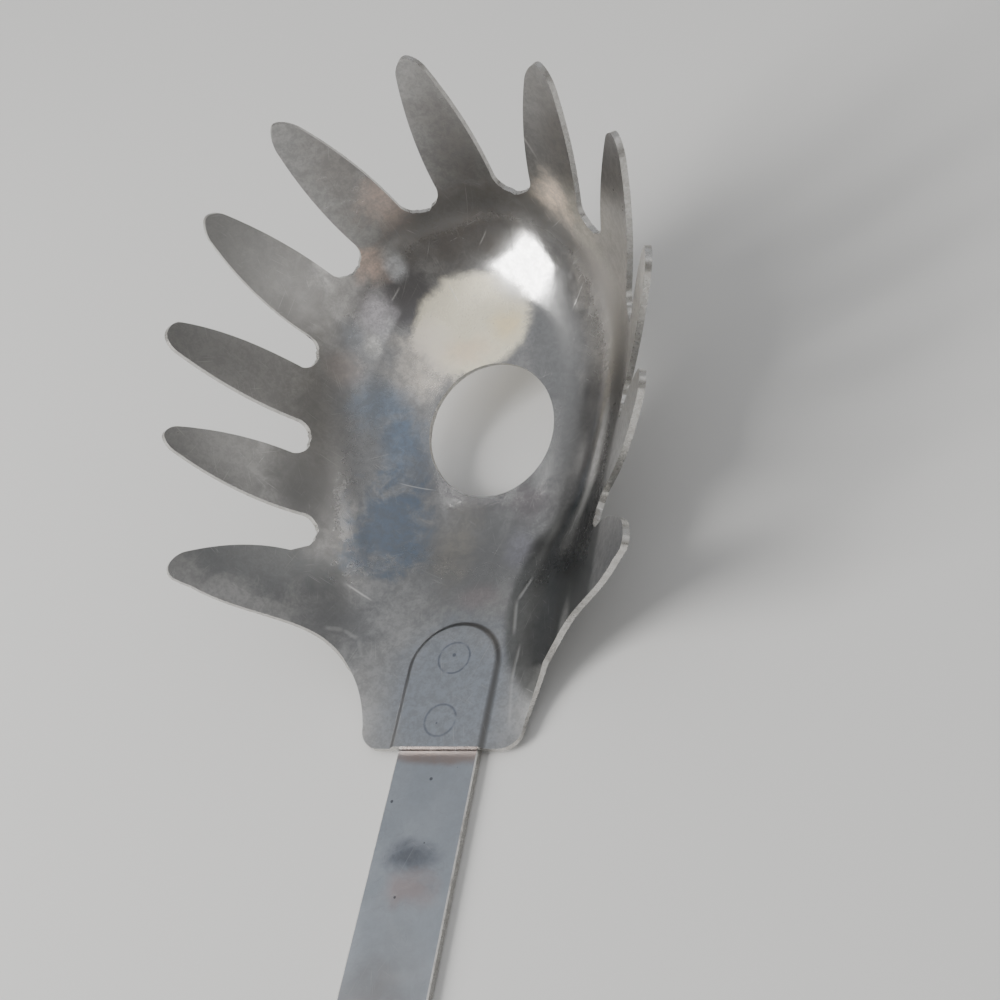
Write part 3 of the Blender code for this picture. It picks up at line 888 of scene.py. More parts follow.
class EffectLibrary:
    """Makes each shared node group once. Groups put out values only.

    Each noise is given by its scale, detail, roughness and twist, and each stretch by its scale on X, Y and Z.
    Levels are those between which a value rises from 0 to 1. Speck radii are two levels, and the radii there.
    """

    CLOUDS = (95.0, 5.0, 0.6, 0.6)
    DROPS = (170.0, 4.0, 0.55, 0.9)
    DROP_BREAKS = (260.0, 2.0)
    PATCHES = (700.0, 4.0, 0.65, 0.3)
    FINE_PATCHES = (2600.0, 3.0, 0.6)
    SPECK_SIZES = (130.0, 2.0)
    SPECK_LEVEL = 0.72
    FINE_GRAIN = (9000.0, 120.0, 9000.0)
    COARSE_GRAIN = (2400.0, 30.0, 2400.0)
    SCRATCH_WIDTH = 4200.0
    SCRATCH_PATCH = (160.0, 160.0, 1.0)
    SCRATCH_LAYERS = 7
    SCRATCH_TURNS = (0.35, 2.399)
    SCRATCH_LENGTHS = (60.0, 23.0)
    SCRATCH_LEVELS = (0.68, 0.76)
    SCRATCH_PATCH_LEVELS = (0.54, 0.36)
    GRAIN_SHARES = (0.6, 0.4)
    CLOUD_LEVELS = (0.35, 0.68)
    DROP_LEVELS = (0.018, 0.002)
    DROP_BREAK_LEVELS = (0.45, 0.6)
    SPECK_RADII = (0.5, 0.75, 0.02, 0.22)
    PATCH_SHARES = (0.65, 0.35)

    def __init__(self) -> None:
        """Build all the groups."""
        self.groups: dict[Effect, NodeTree] = {}
        for build in (self.scratches, self.grain, self.blotches, self.specks, self.mottle):
            build()

    def empty(self, effect: Effect, outputs: tuple[str, ...], **inputs: float) -> tuple[Graph, dict, dict]:
        """Start a group with a Place input, value inputs and value outputs.

        Args:
            effect: Which effect it is.
            outputs: Names of the value outputs.
            inputs: Defaults of the value inputs.

        Returns:
            The group's graph, its input sockets and its output sockets by name.
        """
        self.groups[effect] = group = bpy.data.node_groups.new(effect.value, "ShaderNodeTree")
        group.interface.new_socket("Place", in_out="INPUT", socket_type="NodeSocketVector")
        for name, default in inputs.items():
            socket = group.interface.new_socket(name, in_out="INPUT", socket_type="NodeSocketFloat")
            socket.default_value = default
        for name in outputs:
            group.interface.new_socket(name, in_out="OUTPUT", socket_type="NodeSocketFloat")
        graph = Graph(group)
        ends = group.nodes.new("NodeGroupInput").outputs, group.nodes.new("NodeGroupOutput").inputs
        return graph, *({socket.name: socket for socket in sockets if socket.name} for sockets in ends)

    def scratches(self) -> None:
        """Short thin lines in many directions, where stretched noise crosses a level."""
        graph, given, out = self.empty(Effect.SCRATCHES, ("Lines",), Density=0.5)
        layers = []
        for index in range(self.SCRATCH_LAYERS):
            turn = self.SCRATCH_TURNS[0] + index * self.SCRATCH_TURNS[1]
            length = self.SCRATCH_LENGTHS[0] + self.SCRATCH_LENGTHS[1] * index
            place = graph.stretch(given["Place"], (self.SCRATCH_WIDTH, length, 1.0), turn)
            line = graph.remap(graph.noise(place, 1.0, 1.0), *self.SCRATCH_LEVELS)
            patch = graph.noise(graph.stretch(given["Place"], self.SCRATCH_PATCH, turn * 3.0), 1.0, 1.0)
            layers.append(graph.product(line, graph.remap(patch, *self.SCRATCH_PATCH_LEVELS)))
        graph.feed(out["Lines"], graph.math("MULTIPLY", graph.total(*layers), given["Density"], clamp=True))

    def grain(self) -> None:
        """Fine even lines along Y: a fine and a coarse stretched noise."""
        graph, given, out = self.empty(Effect.GRAIN, ("Height",))
        fine = graph.noise(graph.stretch(given["Place"], self.FINE_GRAIN), 1.0, 3.0, 0.7)
        coarse = graph.noise(graph.stretch(given["Place"], self.COARSE_GRAIN), 1.0, 2.0, 0.6)
        graph.feed(out["Height"], graph.blend((fine, coarse), self.GRAIN_SHARES))

    def blotches(self) -> None:
        """Water marks: cloudy areas, and the fine rims where drops dried."""
        graph, given, out = self.empty(Effect.BLOTCHES, ("Cloud", "Rims"))
        cloud = graph.noise(given["Place"], *self.CLOUDS)
        ground = graph.noise(given["Place"], *self.DROPS)
        rims = graph.remap(graph.off(ground, 0.5), *self.DROP_LEVELS)
        broken = graph.remap(graph.noise(given["Place"], *self.DROP_BREAKS), *self.DROP_BREAK_LEVELS)
        graph.feed(out["Cloud"], graph.remap(cloud, *self.CLOUD_LEVELS))
        graph.feed(out["Rims"], graph.product(rims, broken))

    def specks(self) -> None:
        """Small round pits and specks, of uneven size, in some of the cells."""
        graph, given, out = self.empty(Effect.SPECKS, ("Specks",), Scale=900.0)
        cells = graph.add("TexVoronoi", {"Vector": given["Place"], "Scale": given["Scale"]}).outputs
        size = graph.remap(graph.noise(given["Place"], *self.SPECK_SIZES), *self.SPECK_RADII)
        red = graph.add("SeparateColor", {0: cells["Color"]}).outputs[0]
        inside = graph.math("LESS_THAN", cells["Distance"], size)
        graph.feed(out["Specks"], graph.product(inside, graph.math("GREATER_THAN", red, self.SPECK_LEVEL)))

    def mottle(self) -> None:
        """Fine uneven patina: small soft patches, broken up by finer ones."""
        graph, given, out = self.empty(Effect.MOTTLE, ("Mottle",))
        patches = graph.noise(given["Place"], *self.PATCHES)
        fine = graph.noise(given["Place"], *self.FINE_PATCHES)
        graph.feed(out["Mottle"], graph.blend((patches, fine), self.PATCH_SHARES))


@dataclass(frozen=True)
class TintPatch:
    """A patch of tint on the steel, used for stains and for painted light and shade: an ellipsoid in the part's
    frame, with a ragged and soft border.

    Its haze is what it adds to the roughness, and its chalk what it takes off the metal's share.
    """

    label: str
    centre: Triple
    size: Triple
    colour: Triple
    strength: float
    turn: float = 0.0
    core: float = 0.15
    ragged: float = 1.3
    haze: float = 0.0
    chalk: float = 0.0


@dataclass(frozen=True)
class WeldMark:
    """The print of a welding electrode: a thin ring, with a pip near its middle."""

    centre: Pair
    radius: float
    width: float
    strength: float
    pip: Pair
    pip_radius: float


@dataclass(frozen=True)
class Score:
    """A straight scratch or crease between two points, seen from above."""

    start: Pair
    end: Pair
    width: float
    shine: float
    lift: float


# Tint patches of the head: films of the steel, and painted shade, highlights and reflections, each named in its
# label.
HEAD_TINTS_AND_PAINTED_LIGHT = (
    # These films darken the front wall and the front teeth: partly the steel's brown film, partly painted shade
    # for the dark surroundings that the steel mirrors. The dark tongue is painted dark reflection.
    TintPatch("brown film and painted dark reflection on front wall", (-5, 149, 28), (22, 9, 13), (0.24, 0.215, 0.195), 0.8),
    TintPatch("painted dark reflection tongue on front wall", (-16, 141, 19.5), (6.2, 7, 7), (0.21, 0.2, 0.21), 0.75, core=0.55,
          ragged=0.9),
    TintPatch("brown film and painted shade on front tooth", (1, 152, 42), (8, 8, 20), (0.27, 0.25, 0.235), 0.6),
    TintPatch("film and painted shade on second tooth", (-18, 148, 42), (9, 10, 20), (0.3, 0.28, 0.265), 0.7),
    TintPatch("warm root of second tooth", (-14, 148.5, 36), (7, 6, 8), (0.84, 0.66, 0.57), 0.6, chalk=0.3),
    TintPatch("film and painted shade on right front tooth", (24, 145, 45), (8, 10, 19), (0.34, 0.32, 0.3), 0.6),
    # A pale chalky film before and beside the hole, whose beige, orange and tan colours are also a painted
    # reflection of a warm ceiling.
    TintPatch("beige film and painted reflection before hole", (-4.5, 137.2, 15), (12.8, 11.2, 9), (1, 0.93, 0.73), 0.97, core=0.75,
          ragged=0.45, haze=0.13, chalk=0.75),
    TintPatch("orange border of film and painted reflection", (2.2, 136.2, 14.5), (4.6, 4.6, 5), (1, 0.8, 0.46), 0.6, haze=0.05),
    TintPatch("tan foot of film and painted reflection", (-6, 132.5, 13), (8.5, 3.4, 5), (0.95, 0.76, 0.56), 0.65, haze=0.08),
    TintPatch("beige film and painted reflection beside hole", (-14.5, 131, 12.5), (9, 10.5, 9), (0.96, 0.88, 0.78), 0.9, haze=0.14,
          chalk=0.32),
    # Its pale colour is a painted highlight that brightens the window's glint until it clips; its negative haze
    # polishes the patch.
    TintPatch("polished patch with painted glint", (6.5, 143.8, 19.7), (8.8, 6.8, 7), (0.7, 0.695, 0.685),
          0.85, core=0.55, ragged=0.3, haze=-0.07),
    TintPatch("grey film right of bloom", (15.8, 131, 15), (10.2, 16, 10), (0.35, 0.35, 0.35), 0.85, core=0.8,
          ragged=0.25),
    TintPatch("pink blotch", (-20.4, 143.1, 27), (4.6, 4.6, 5.5), (1, 0.76, 0.64), 0.75, haze=0.14),
    TintPatch("pale patch", (-17.2, 144.5, 24.5), (2.6, 2.8, 5), (0.95, 0.97, 1), 0.8, haze=0.14),
    TintPatch("lilac film", (-21.7, 137.5, 21), (5.2, 6.5, 6.5), (0.66, 0.62, 0.65), 0.65, haze=0.05),
    TintPatch("pale spot on left wall", (-22.3, 132.9, 17.2), (2.4, 2.8, 4), (0.95, 0.93, 0.88), 0.85,
          haze=0.08),
    TintPatch("blue shade beside spot", (-25.4, 133.2, 20.5), (3, 4, 5), (0.34, 0.38, 0.44), 0.55),
    TintPatch("pink marks under gap", (-26.5, 127, 18.5), (4.8, 4.4, 5.6), (0.9, 0.74, 0.66), 0.75, haze=0.05,
          chalk=0.3),
    TintPatch("blue film left of hole", (-21.5, 122.5, 12.5), (8.5, 6.8, 8), (0.33, 0.43, 0.57), 0.8),
    TintPatch("blue tail of film", (-16.5, 116.5, 8.5), (6, 9.5, 6), (0.26, 0.34, 0.46), 0.8),
    TintPatch("shade on fifth tooth's root", (-27, 102.5, 16), (9, 8.2, 12), (0.1, 0.1, 0.1), 0.85, ragged=0.8),
    TintPatch("shade on rear tooth's root", (-23.2, 88.8, 11.5), (7, 5.6, 7), (0.12, 0.13, 0.135), 0.85,
          ragged=0.8),
    # Darkened as painted shade over the left roots, as well as worn and hazed.
    TintPatch("worn left wall with painted shade", (-26.2, 112, 16), (10.5, 33, 15), (0.25, 0.25, 0.25), 0.6, core=0.5, ragged=0.6,
          haze=0.22),
    # Films on the left teeth: partly the steel's film, partly painted shade that keeps these teeth as dark as
    # steel that mirrors dark surroundings.
    TintPatch("film and painted shade on fourth tooth", (-33.5, 134.5, 40), (14, 9, 20), (0.25, 0.245, 0.24), 0.65, core=0.5),
    TintPatch("film and painted shade on left teeth", (-41, 112, 34), (20, 50, 32), (0.24, 0.24, 0.235), 0.6, core=0.5,
          ragged=0.8),
    TintPatch("film and painted shade on rear tooth", (-33, 86.5, 20), (15, 8.5, 15), (0.24, 0.25, 0.255), 0.7, core=0.5),
    TintPatch("shade on left flank", (-22.5, 81.5, 8.5), (15, 9, 11), (0.2, 0.205, 0.21), 0.75),
    TintPatch("shade under third gap", (-29, 132.5, 29), (6.5, 9.5, 11), (0.27, 0.265, 0.26), 0.7, ragged=0.8),
    TintPatch("grey film behind hole", (-2, 96, 3), (24, 21, 8.5), (0.22, 0.22, 0.22), 0.8),
    TintPatch("dark film at hole's rear", (-4, 108.5, 4.5), (16.5, 7, 5.5), (0.2, 0.195, 0.2), 0.7, ragged=0.9),
    TintPatch("dark film left of hole", (-13.5, 112, 6), (4.2, 8.5, 5), (0.23, 0.26, 0.31), 0.75, ragged=0.9),
    TintPatch("grey film right of hole", (15, 115, 8), (6.8, 19, 9), (0.27, 0.27, 0.27), 0.75),
    TintPatch("blue film behind", (-17.5, 101, 5), (10.5, 13, 7), (0.215, 0.265, 0.34), 0.85, core=0.4, ragged=1.9),
    TintPatch("tan film behind hole", (-5, 99, 2.2), (6.2, 11, 4), (0.42, 0.39, 0.34), 0.55),
    TintPatch("brown shade behind hole", (8.5, 105, 3.1), (5.6, 5, 4.5), (0.25, 0.22, 0.23), 0.65),
    TintPatch("lilac patch", (7.5, 96.8, 2), (4, 5.6, 3), (0.4, 0.39, 0.44), 0.6, turn=-0.4),
    TintPatch("cool film on neck", (0, 70, 2), (16, 19, 7), (0.37, 0.41, 0.47), 0.8, core=0.4, ragged=0.5),
    TintPatch("pink shade before pocket", (1.7, 88, 2), (6, 3.2, 3), (0.4, 0.34, 0.34), 0.55),
    # Painted shade darkens the right flank, and a painted highlight lightens its rim.
    TintPatch("painted shade on right flank", (20, 86, 7), (14, 20.5, 20), (0.155, 0.16, 0.155), 0.88, core=0.86, ragged=0.18),
    TintPatch("painted highlight on right flank's rim", (21.5, 77, 9.8), (2.6, 8, 4), (0.7, 0.69, 0.67), 0.6, haze=0.08),
    TintPatch("soot on right wall", (24, 108, 12), (5.5, 16, 10), (0.26, 0.25, 0.24), 0.55),
    # These hazy, scuffed patches lighten the right wall; the lightness is partly a painted reflection.
    TintPatch("pale haze and painted reflection on right wall", (19.2, 140, 22), (5.6, 7.5, 11.5), (0.86, 0.81, 0.76), 0.75, haze=0.1),
    TintPatch("scuffed patina and painted reflection on right wall", (20.5, 128, 16), (5.5, 19, 11), (0.66, 0.64, 0.61), 0.65,
          haze=0.09),
    # A painted orange reflection, with haze and chalk, at the right front tooth's root.
    TintPatch("painted orange reflection at right front tooth's root", (16.5, 146.7, 31.5), (5.8, 5, 7.5), (1, 0.82, 0.66), 0.85,
          haze=0.2, chalk=0.3),
)

STRAP_TINTS = (
    # A dark brown band on the strap just behind the neck's end.
    TintPatch("dark band at neck", (0, 60.6, 1.5), (11, 2.5, 3), (0.3, 0.23, 0.2), 0.85, core=0.5, ragged=0.7),
    TintPatch("dark blotch", (-0.8, 44.4, 1.5), (6.2, 3.6, 3), (0.11, 0.12, 0.145), 0.85),
    TintPatch("pink blotch", (1, 39.2, 1.5), (6.2, 4, 3), (0.4, 0.32, 0.31), 0.75),
    TintPatch("brown haze", (-1, 18, 1.5), (11, 21, 3), (0.23, 0.215, 0.205), 0.75, ragged=0.8),
    TintPatch("blue haze", (3, -60, 1.5), (8, 20, 3), (0.34, 0.38, 0.44), 0.4),
)


class Steel:
    """A worn steel material on a Principled BSDF.

    Noises are scale, detail, roughness and twist. Tints are a share and a colour. A range is two levels of a
    value and what they become, or the two levels alone.
    """

    FINISH: Finish
    FRAY = (210.0, 7.0, 0.66, 0.5)

    def __init__(self, effects: EffectLibrary) -> None:
        """Make the material.

        Args:
            effects: Shared groups.
        """
        self.effects = effects
        self.material = bpy.data.materials.new(self.FINISH.name)
        self.material.use_nodes = True
        self.graph = Graph(self.material.node_tree)
        self.shader = self.material.node_tree.nodes["Principled BSDF"].inputs
        self.shader["Metallic"].default_value = 1.0
        self.place = self.graph.add("TexCoord").outputs["Object"]
        self.wire()

    def wire(self) -> None:
        """Feed the shader."""
        raise NotImplementedError

    def effect(self, effect: Effect, place: object, **inputs: float) -> bpy.types.NodeOutputs:
        """Use a shared group at a place."""
        group = self.effects.groups[effect]
        return self.graph.add("Group", {"Place": place, **inputs}, node_tree=group).outputs

    def noise(self, scale: float, detail: float, roughness: float = 0.5, twist: float = 0.0) -> NodeSocket:
        """Noise value over the piece."""
        return self.graph.noise(self.place, scale, detail, roughness, twist)

    def lay_tint_patches(self, colour: object, tint_patches: tuple[TintPatch, ...]) -> tuple[NodeSocket, object, object]:
        """Lay tint patches over a colour, one after another: stains, and painted shade, highlights and
        reflections.

        A patch's mask is 1 in its core and 0 outside its ellipsoid, and one noise frays all the borders.

        Args:
            colour: Colour under the patches.
            tint_patches: The patches, in millimetres.

        Returns:
            The tinted colour, the haze that the patches add to the roughness, and their chalk.
        """
        graph = self.graph
        haze, chalk = 0.0, 0.0
        fray = graph.math("SUBTRACT", self.noise(*self.FRAY), 0.5)
        for tint_patch in tint_patches:
            away = graph.vector("SUBTRACT", self.place, Vector(tint_patch.centre) * MILLIMETRE)
            shrunk = graph.stretch(away, tuple(1.0 / MILLIMETRE / size for size in tint_patch.size), tint_patch.turn)
            frayed = graph.total(graph.vector("LENGTH", shrunk), graph.product(fray, tint_patch.ragged))
            mask = graph.product(graph.remap(frayed, 1.0, tint_patch.core), tint_patch.strength)
            colour = graph.mix(mask, colour, tint_patch.colour)
            colour.node.label = tint_patch.label
            if tint_patch.haze:
                haze = graph.total(haze, graph.product(mask, tint_patch.haze))
            if tint_patch.chalk:
                chalk = graph.total(chalk, graph.product(mask, tint_patch.chalk))
        return colour, haze, chalk

    def tinted(self, colour: object, mask: object, share: float, tint: Triple) -> NodeSocket:
        """Lay a tint over a colour, at a share of its mask."""
        return self.graph.mix(self.graph.product(mask, share), colour, tint)

    def finish_with(self, colour: object, roughness: object, height: object, depth: float) -> None:
        """Feed the shader.

        Args:
            colour: Base colour.
            roughness: What to add to the finish's roughness.
            height: Height for the bump, in units of depth.
            depth: Depth of a unit of height, in metres.
        """
        self.graph.feed(self.shader["Base Color"], colour)
        self.graph.feed(self.shader["Roughness"], self.graph.total(self.FINISH.roughness, roughness))
        bump = self.graph.add("Bump", {"Height": height, "Strength": 1.0, "Distance": depth})
        self.graph.feed(self.shader["Normal"], bump.outputs[0])


class PolishedSheet(Steel):
    """Worn, mirror-like sheet of the head: scratches, water marks, tints, painted light and shade, dents and
    weld marks.
    """

    FINISH = Finish("polished_sheet", (0.50, 0.495, 0.49), 0.12)
    CLOUD_TINT = (0.30, (0.40, 0.39, 0.38))
    # The band's tint darkens the colour as tarnish and painted shade.
    TARNISH_AND_SHADE_TINT = (0.80, (0.17, 0.165, 0.16))
    RIM_TINT = (0.18, (0.30, 0.29, 0.29))
    PATINA_RANGE = (0.40, 0.60, 0.42, 0.0)
    PATINA_COLOUR = (0.24, 0.24, 0.24)
    SCRATCH_DENSITY = 0.55
    SCRATCH_TINT = (0.42, (0.74, 0.73, 0.71))
    PRINT_TINT = (0.7, (0.12, 0.13, 0.17))
    SHINE_COLOUR = (0.88, 0.87, 0.85)
    SATIN_ROUGHNESS = 0.30
    SMEARS = (42.0, 3.0, 0.5, 0.4)
    SMEAR_ROUGHNESS = (0.3, 0.7, -0.03, 0.05)
    MOTTLE_ROUGHNESS = (0.3, 0.7, 0.05, -0.02)
    CLOUD_ROUGHNESS, SCRATCH_ROUGHNESS, TARNISH_ROUGHNESS = 0.04, 0.12, 0.12
    SCRATCH_LIFT, GRAIN_LIFT, MOTTLE_LIFT, PRINT_LIFT, DENT_LIFT = -0.12, 0.10, 0.05, -1.5, 7.0
    DENTS = (60.0, 2.0)
    RING_BREAKS = (420.0, 2.0)
    RING_BREAK_RANGE = (0.26, 0.50)
    PIP_CORE = 0.5
    SCORE_TAPER = (0.5, 0.2)
    DEPTH = 0.000008
    WELD_MARKS = (
        WeldMark((0, 76.6), 2.75, 0.30, 0.95, (-0.1, 77.1), 0.42),
        WeldMark((0, 65.7), 2.70, 0.34, 0.80, (-0.5, 65.2), 0.20),
    )
    SCORES = (
        Score((11.2, 91.5), (8.6, 86.5), 0.55, 0.35, 5),
        Score((8.6, 88), (9.6, 80), 0.55, 0.3, 5),
        Score((11.2, 79.2), (10.8, 71), 0.5, 0.25, 4),
        Score((10.8, 73), (11.9, 64), 0.5, 0.2, 3),
        Score((-21.5, 79), (-19, 80), 0.55, 0.2, 4),
        Score((-19.4, 80), (-16.8, 79), 0.55, 0.2, 4),
        Score((-17.2, 79.5), (-15.7, 75.5), 0.5, 0.15, 4),
        Score((-20.7, 88.3), (-16.3, 86.4), 0.28, 0.75, -2),
        Score((-17.5, 109.8), (-9.7, 108.7), 0.16, 0.45, -1),
        Score((-9, 144), (-7, 140.5), 0.14, 0.6, -1),
        Score((-2, 148), (0.5, 149.5), 0.14, 0.5, -1),
        Score((15, 136), (18.5, 139.5), 0.18, 0.5, -1),
        Score((14.5, 150), (16.5, 148), 0.16, 0.6, -1),
        Score((-19, 140), (-17, 142.5), 0.18, 0.5, -1),
    )

    def score(self, flat: NodeSocket, score: Score) -> NodeSocket:
        """Mask of a scratch or crease: 1 on the line from start to end, fading over its width.

        The nearest point of the line is the start plus the clamped share of the way, times the way.

        Args:
            flat: Place seen from above.
            score: Its ends and width, in millimetres.

        Returns:
            The mask.
        """
        graph = self.graph
        start, end = (Vector((*point, 0.0)) * MILLIMETRE for point in (score.start, score.end))
        way = end - start
        away = graph.vector("SUBTRACT", flat, start)
        share = graph.math("ADD", graph.vector("DOT_PRODUCT", away, way / way.length_squared), 0.0, clamp=True)
        foot = graph.add("VectorMath", {0: way, "Scale": share}, operation="SCALE").outputs[0]
        line = graph.remap(graph.vector("DISTANCE", away, foot), score.width * MILLIMETRE, 0.0)
        return graph.product(line, graph.remap(graph.off(share, 0.5), *self.SCORE_TAPER))

    def weld_mark(self, flat: NodeSocket, mark: WeldMark) -> NodeSocket:
        """Mask of an electrode's print: a broken ring and its pip.

        Args:
            flat: Place seen from above.
            mark: Its place and sizes, in millimetres.

        Returns:
            The mask.
        """
        graph = self.graph
        centre, pip = (Vector((*point, 0.0)) * MILLIMETRE for point in (mark.centre, mark.pip))
        off_ring = graph.off(graph.vector("DISTANCE", flat, centre), mark.radius * MILLIMETRE)
        broken = graph.remap(self.noise(*self.RING_BREAKS), *self.RING_BREAK_RANGE)
        ring = graph.product(graph.remap(off_ring, mark.width * MILLIMETRE, 0.0), broken, mark.strength)
        radius = mark.pip_radius * MILLIMETRE
        spot = graph.remap(graph.vector("DISTANCE", flat, pip), radius, radius * self.PIP_CORE)
        return graph.math("MAXIMUM", ring, spot)

    def wire(self) -> None:
        """Wire the material."""
        graph = self.graph
        satin, tarnish_and_shade = (graph.add("Attribute", attribute_name=name).outputs["Fac"]
                          for name in ("satin", "tarnish_and_shade"))
        blank = graph.add("UVMap", uv_map="blank").outputs[0]
        surface = graph.vector("MULTIPLY", blank, (1.0 / UV_SCALE,) * 3)
        flat = graph.vector("MULTIPLY", self.place, (1.0, 1.0, 0.0))
        lines = self.effect(Effect.SCRATCHES, surface, Density=self.SCRATCH_DENSITY)["Lines"]
        grain = self.effect(Effect.GRAIN, surface)["Height"]
        marks = self.effect(Effect.BLOTCHES, self.place)
        mottle = self.effect(Effect.MOTTLE, self.place)["Mottle"]
        colour = self.tinted(self.FINISH.colour, marks["Cloud"], *self.CLOUD_TINT)
        colour, haze, chalk = self.lay_tint_patches(colour, HEAD_TINTS_AND_PAINTED_LIGHT)
        metal = graph.math("SUBTRACT", 1.0, chalk)
        patina = graph.product(graph.remap(mottle, *self.PATINA_RANGE), metal)
        prints, shine, lift = 0.0, 0.0, 0.0
        for mark in self.WELD_MARKS:
            prints = graph.math("MAXIMUM", prints, self.weld_mark(flat, mark))
        for score in self.SCORES:
            mask = self.score(flat, score)
            shine = graph.math("MAXIMUM", shine, graph.product(mask, score.shine))
            lift = graph.total(lift, graph.product(mask, score.lift))
        # Tarnish and painted shade: a dark band where the wall's bend ends, and across the pocket's wall.
        colour = self.tinted(colour, tarnish_and_shade, *self.TARNISH_AND_SHADE_TINT)
        colour = self.tinted(colour, marks["Rims"], *self.RIM_TINT)
        colour = graph.mix(patina, colour, self.PATINA_COLOUR)
        colour = self.tinted(colour, lines, *self.SCRATCH_TINT)
        colour = self.tinted(colour, prints, *self.PRINT_TINT)
        colour = graph.mix(shine, colour, self.SHINE_COLOUR)
        rough = graph.total(
            graph.product(satin, self.SATIN_ROUGHNESS - self.FINISH.roughness),
            graph.remap(self.noise(*self.SMEARS), *self.SMEAR_ROUGHNESS),
            graph.remap(mottle, *self.MOTTLE_ROUGHNESS),
            graph.product(marks["Cloud"], self.CLOUD_ROUGHNESS),
            graph.product(lines, self.SCRATCH_ROUGHNESS),
            haze,
            graph.product(tarnish_and_shade, self.TARNISH_ROUGHNESS),
        )
        graph.feed(self.shader["Metallic"], metal)
        height = graph.total(
            graph.product(lines, self.SCRATCH_LIFT),
            graph.product(grain, self.GRAIN_LIFT),
            graph.product(mottle, self.MOTTLE_LIFT),
            graph.product(prints, self.PRINT_LIFT),
            graph.product(self.noise(*self.DENTS), self.DENT_LIFT),
            lift,
        )
        self.finish_with(colour, rough, height, self.DEPTH)


class ShearedEdgeWithPaintedHighlight(Steel):
    """Cut edge: greyer than the faces, and lighter as a painted highlight along the cut, with fine marks across
    the sheet.
    """

    FINISH = Finish("sheared_edge_painted_highlight", (0.60, 0.59, 0.57), 0.28)
    DEPTH = 0.000003
    MARKS = (1800.0, 3.0, 0.6)
    MARK_ROUGHNESS = (0.3, 0.7, -0.06, 0.08)
    WEAR = (900.0, 3.0, 0.6)
    WEAR_RANGE = (0.35, 0.7)
    WORN_COLOUR = (0.50, 0.485, 0.46)

    def wire(self) -> None:
        """Wire the material."""
        fray = self.noise(*self.MARKS)
        wear = self.graph.remap(self.noise(*self.WEAR), *self.WEAR_RANGE)
        colour = self.graph.mix(wear, self.FINISH.colour, self.WORN_COLOUR)
        self.finish_with(colour, self.graph.remap(fray, *self.MARK_ROUGHNESS), fray, self.DEPTH)


class CornerWithPaintedHighlight(Steel):
    """Rounded corner between a face and a cut edge, bright with a painted highlight, and dulled by wear in
    places.
    """

    FINISH = Finish("worn_corner_painted_highlight", (0.92, 0.90, 0.87), 0.30)
    DEPTH = 0.00001
    WEAR = (300.0, 4.0, 0.6)
    WEAR_RANGE = (0.45, 0.7)
    DULL_COLOUR = (0.50, 0.48, 0.46)
    DULL_ROUGHNESS = 0.15

    def wire(self) -> None:
        """Wire the material."""
        dull = self.graph.remap(self.noise(*self.WEAR), *self.WEAR_RANGE)
        colour = self.graph.mix(dull, self.FINISH.colour, self.DULL_COLOUR)
        self.finish_with(colour, self.graph.product(dull, self.DULL_ROUGHNESS), dull, self.DEPTH)


class FusedSteel(Steel):
    """Dark heat-marked metal of the spot welds."""

    FINISH = Finish("fused_weld", (0.45, 0.44, 0.43), 0.45)
    DEPTH = 0.00003
    HEAT = (900.0, 4.0, 0.6, 0.5)
    HEAT_RANGE = (0.35, 0.65)
    HEAT_COLOUR = (0.30, 0.22, 0.16)
    HEAT_ROUGHNESS = (0.3, 0.7, -0.05, 0.12)

    def wire(self) -> None:
        """Wire the material."""
        heat = self.noise(*self.HEAT)
        share = self.graph.remap(heat, *self.HEAT_RANGE)
        colour = self.graph.mix(share, self.FINISH.colour, self.HEAT_COLOUR)
        self.finish_with(colour, self.graph.remap(heat, *self.HEAT_ROUGHNESS), heat, self.DEPTH)


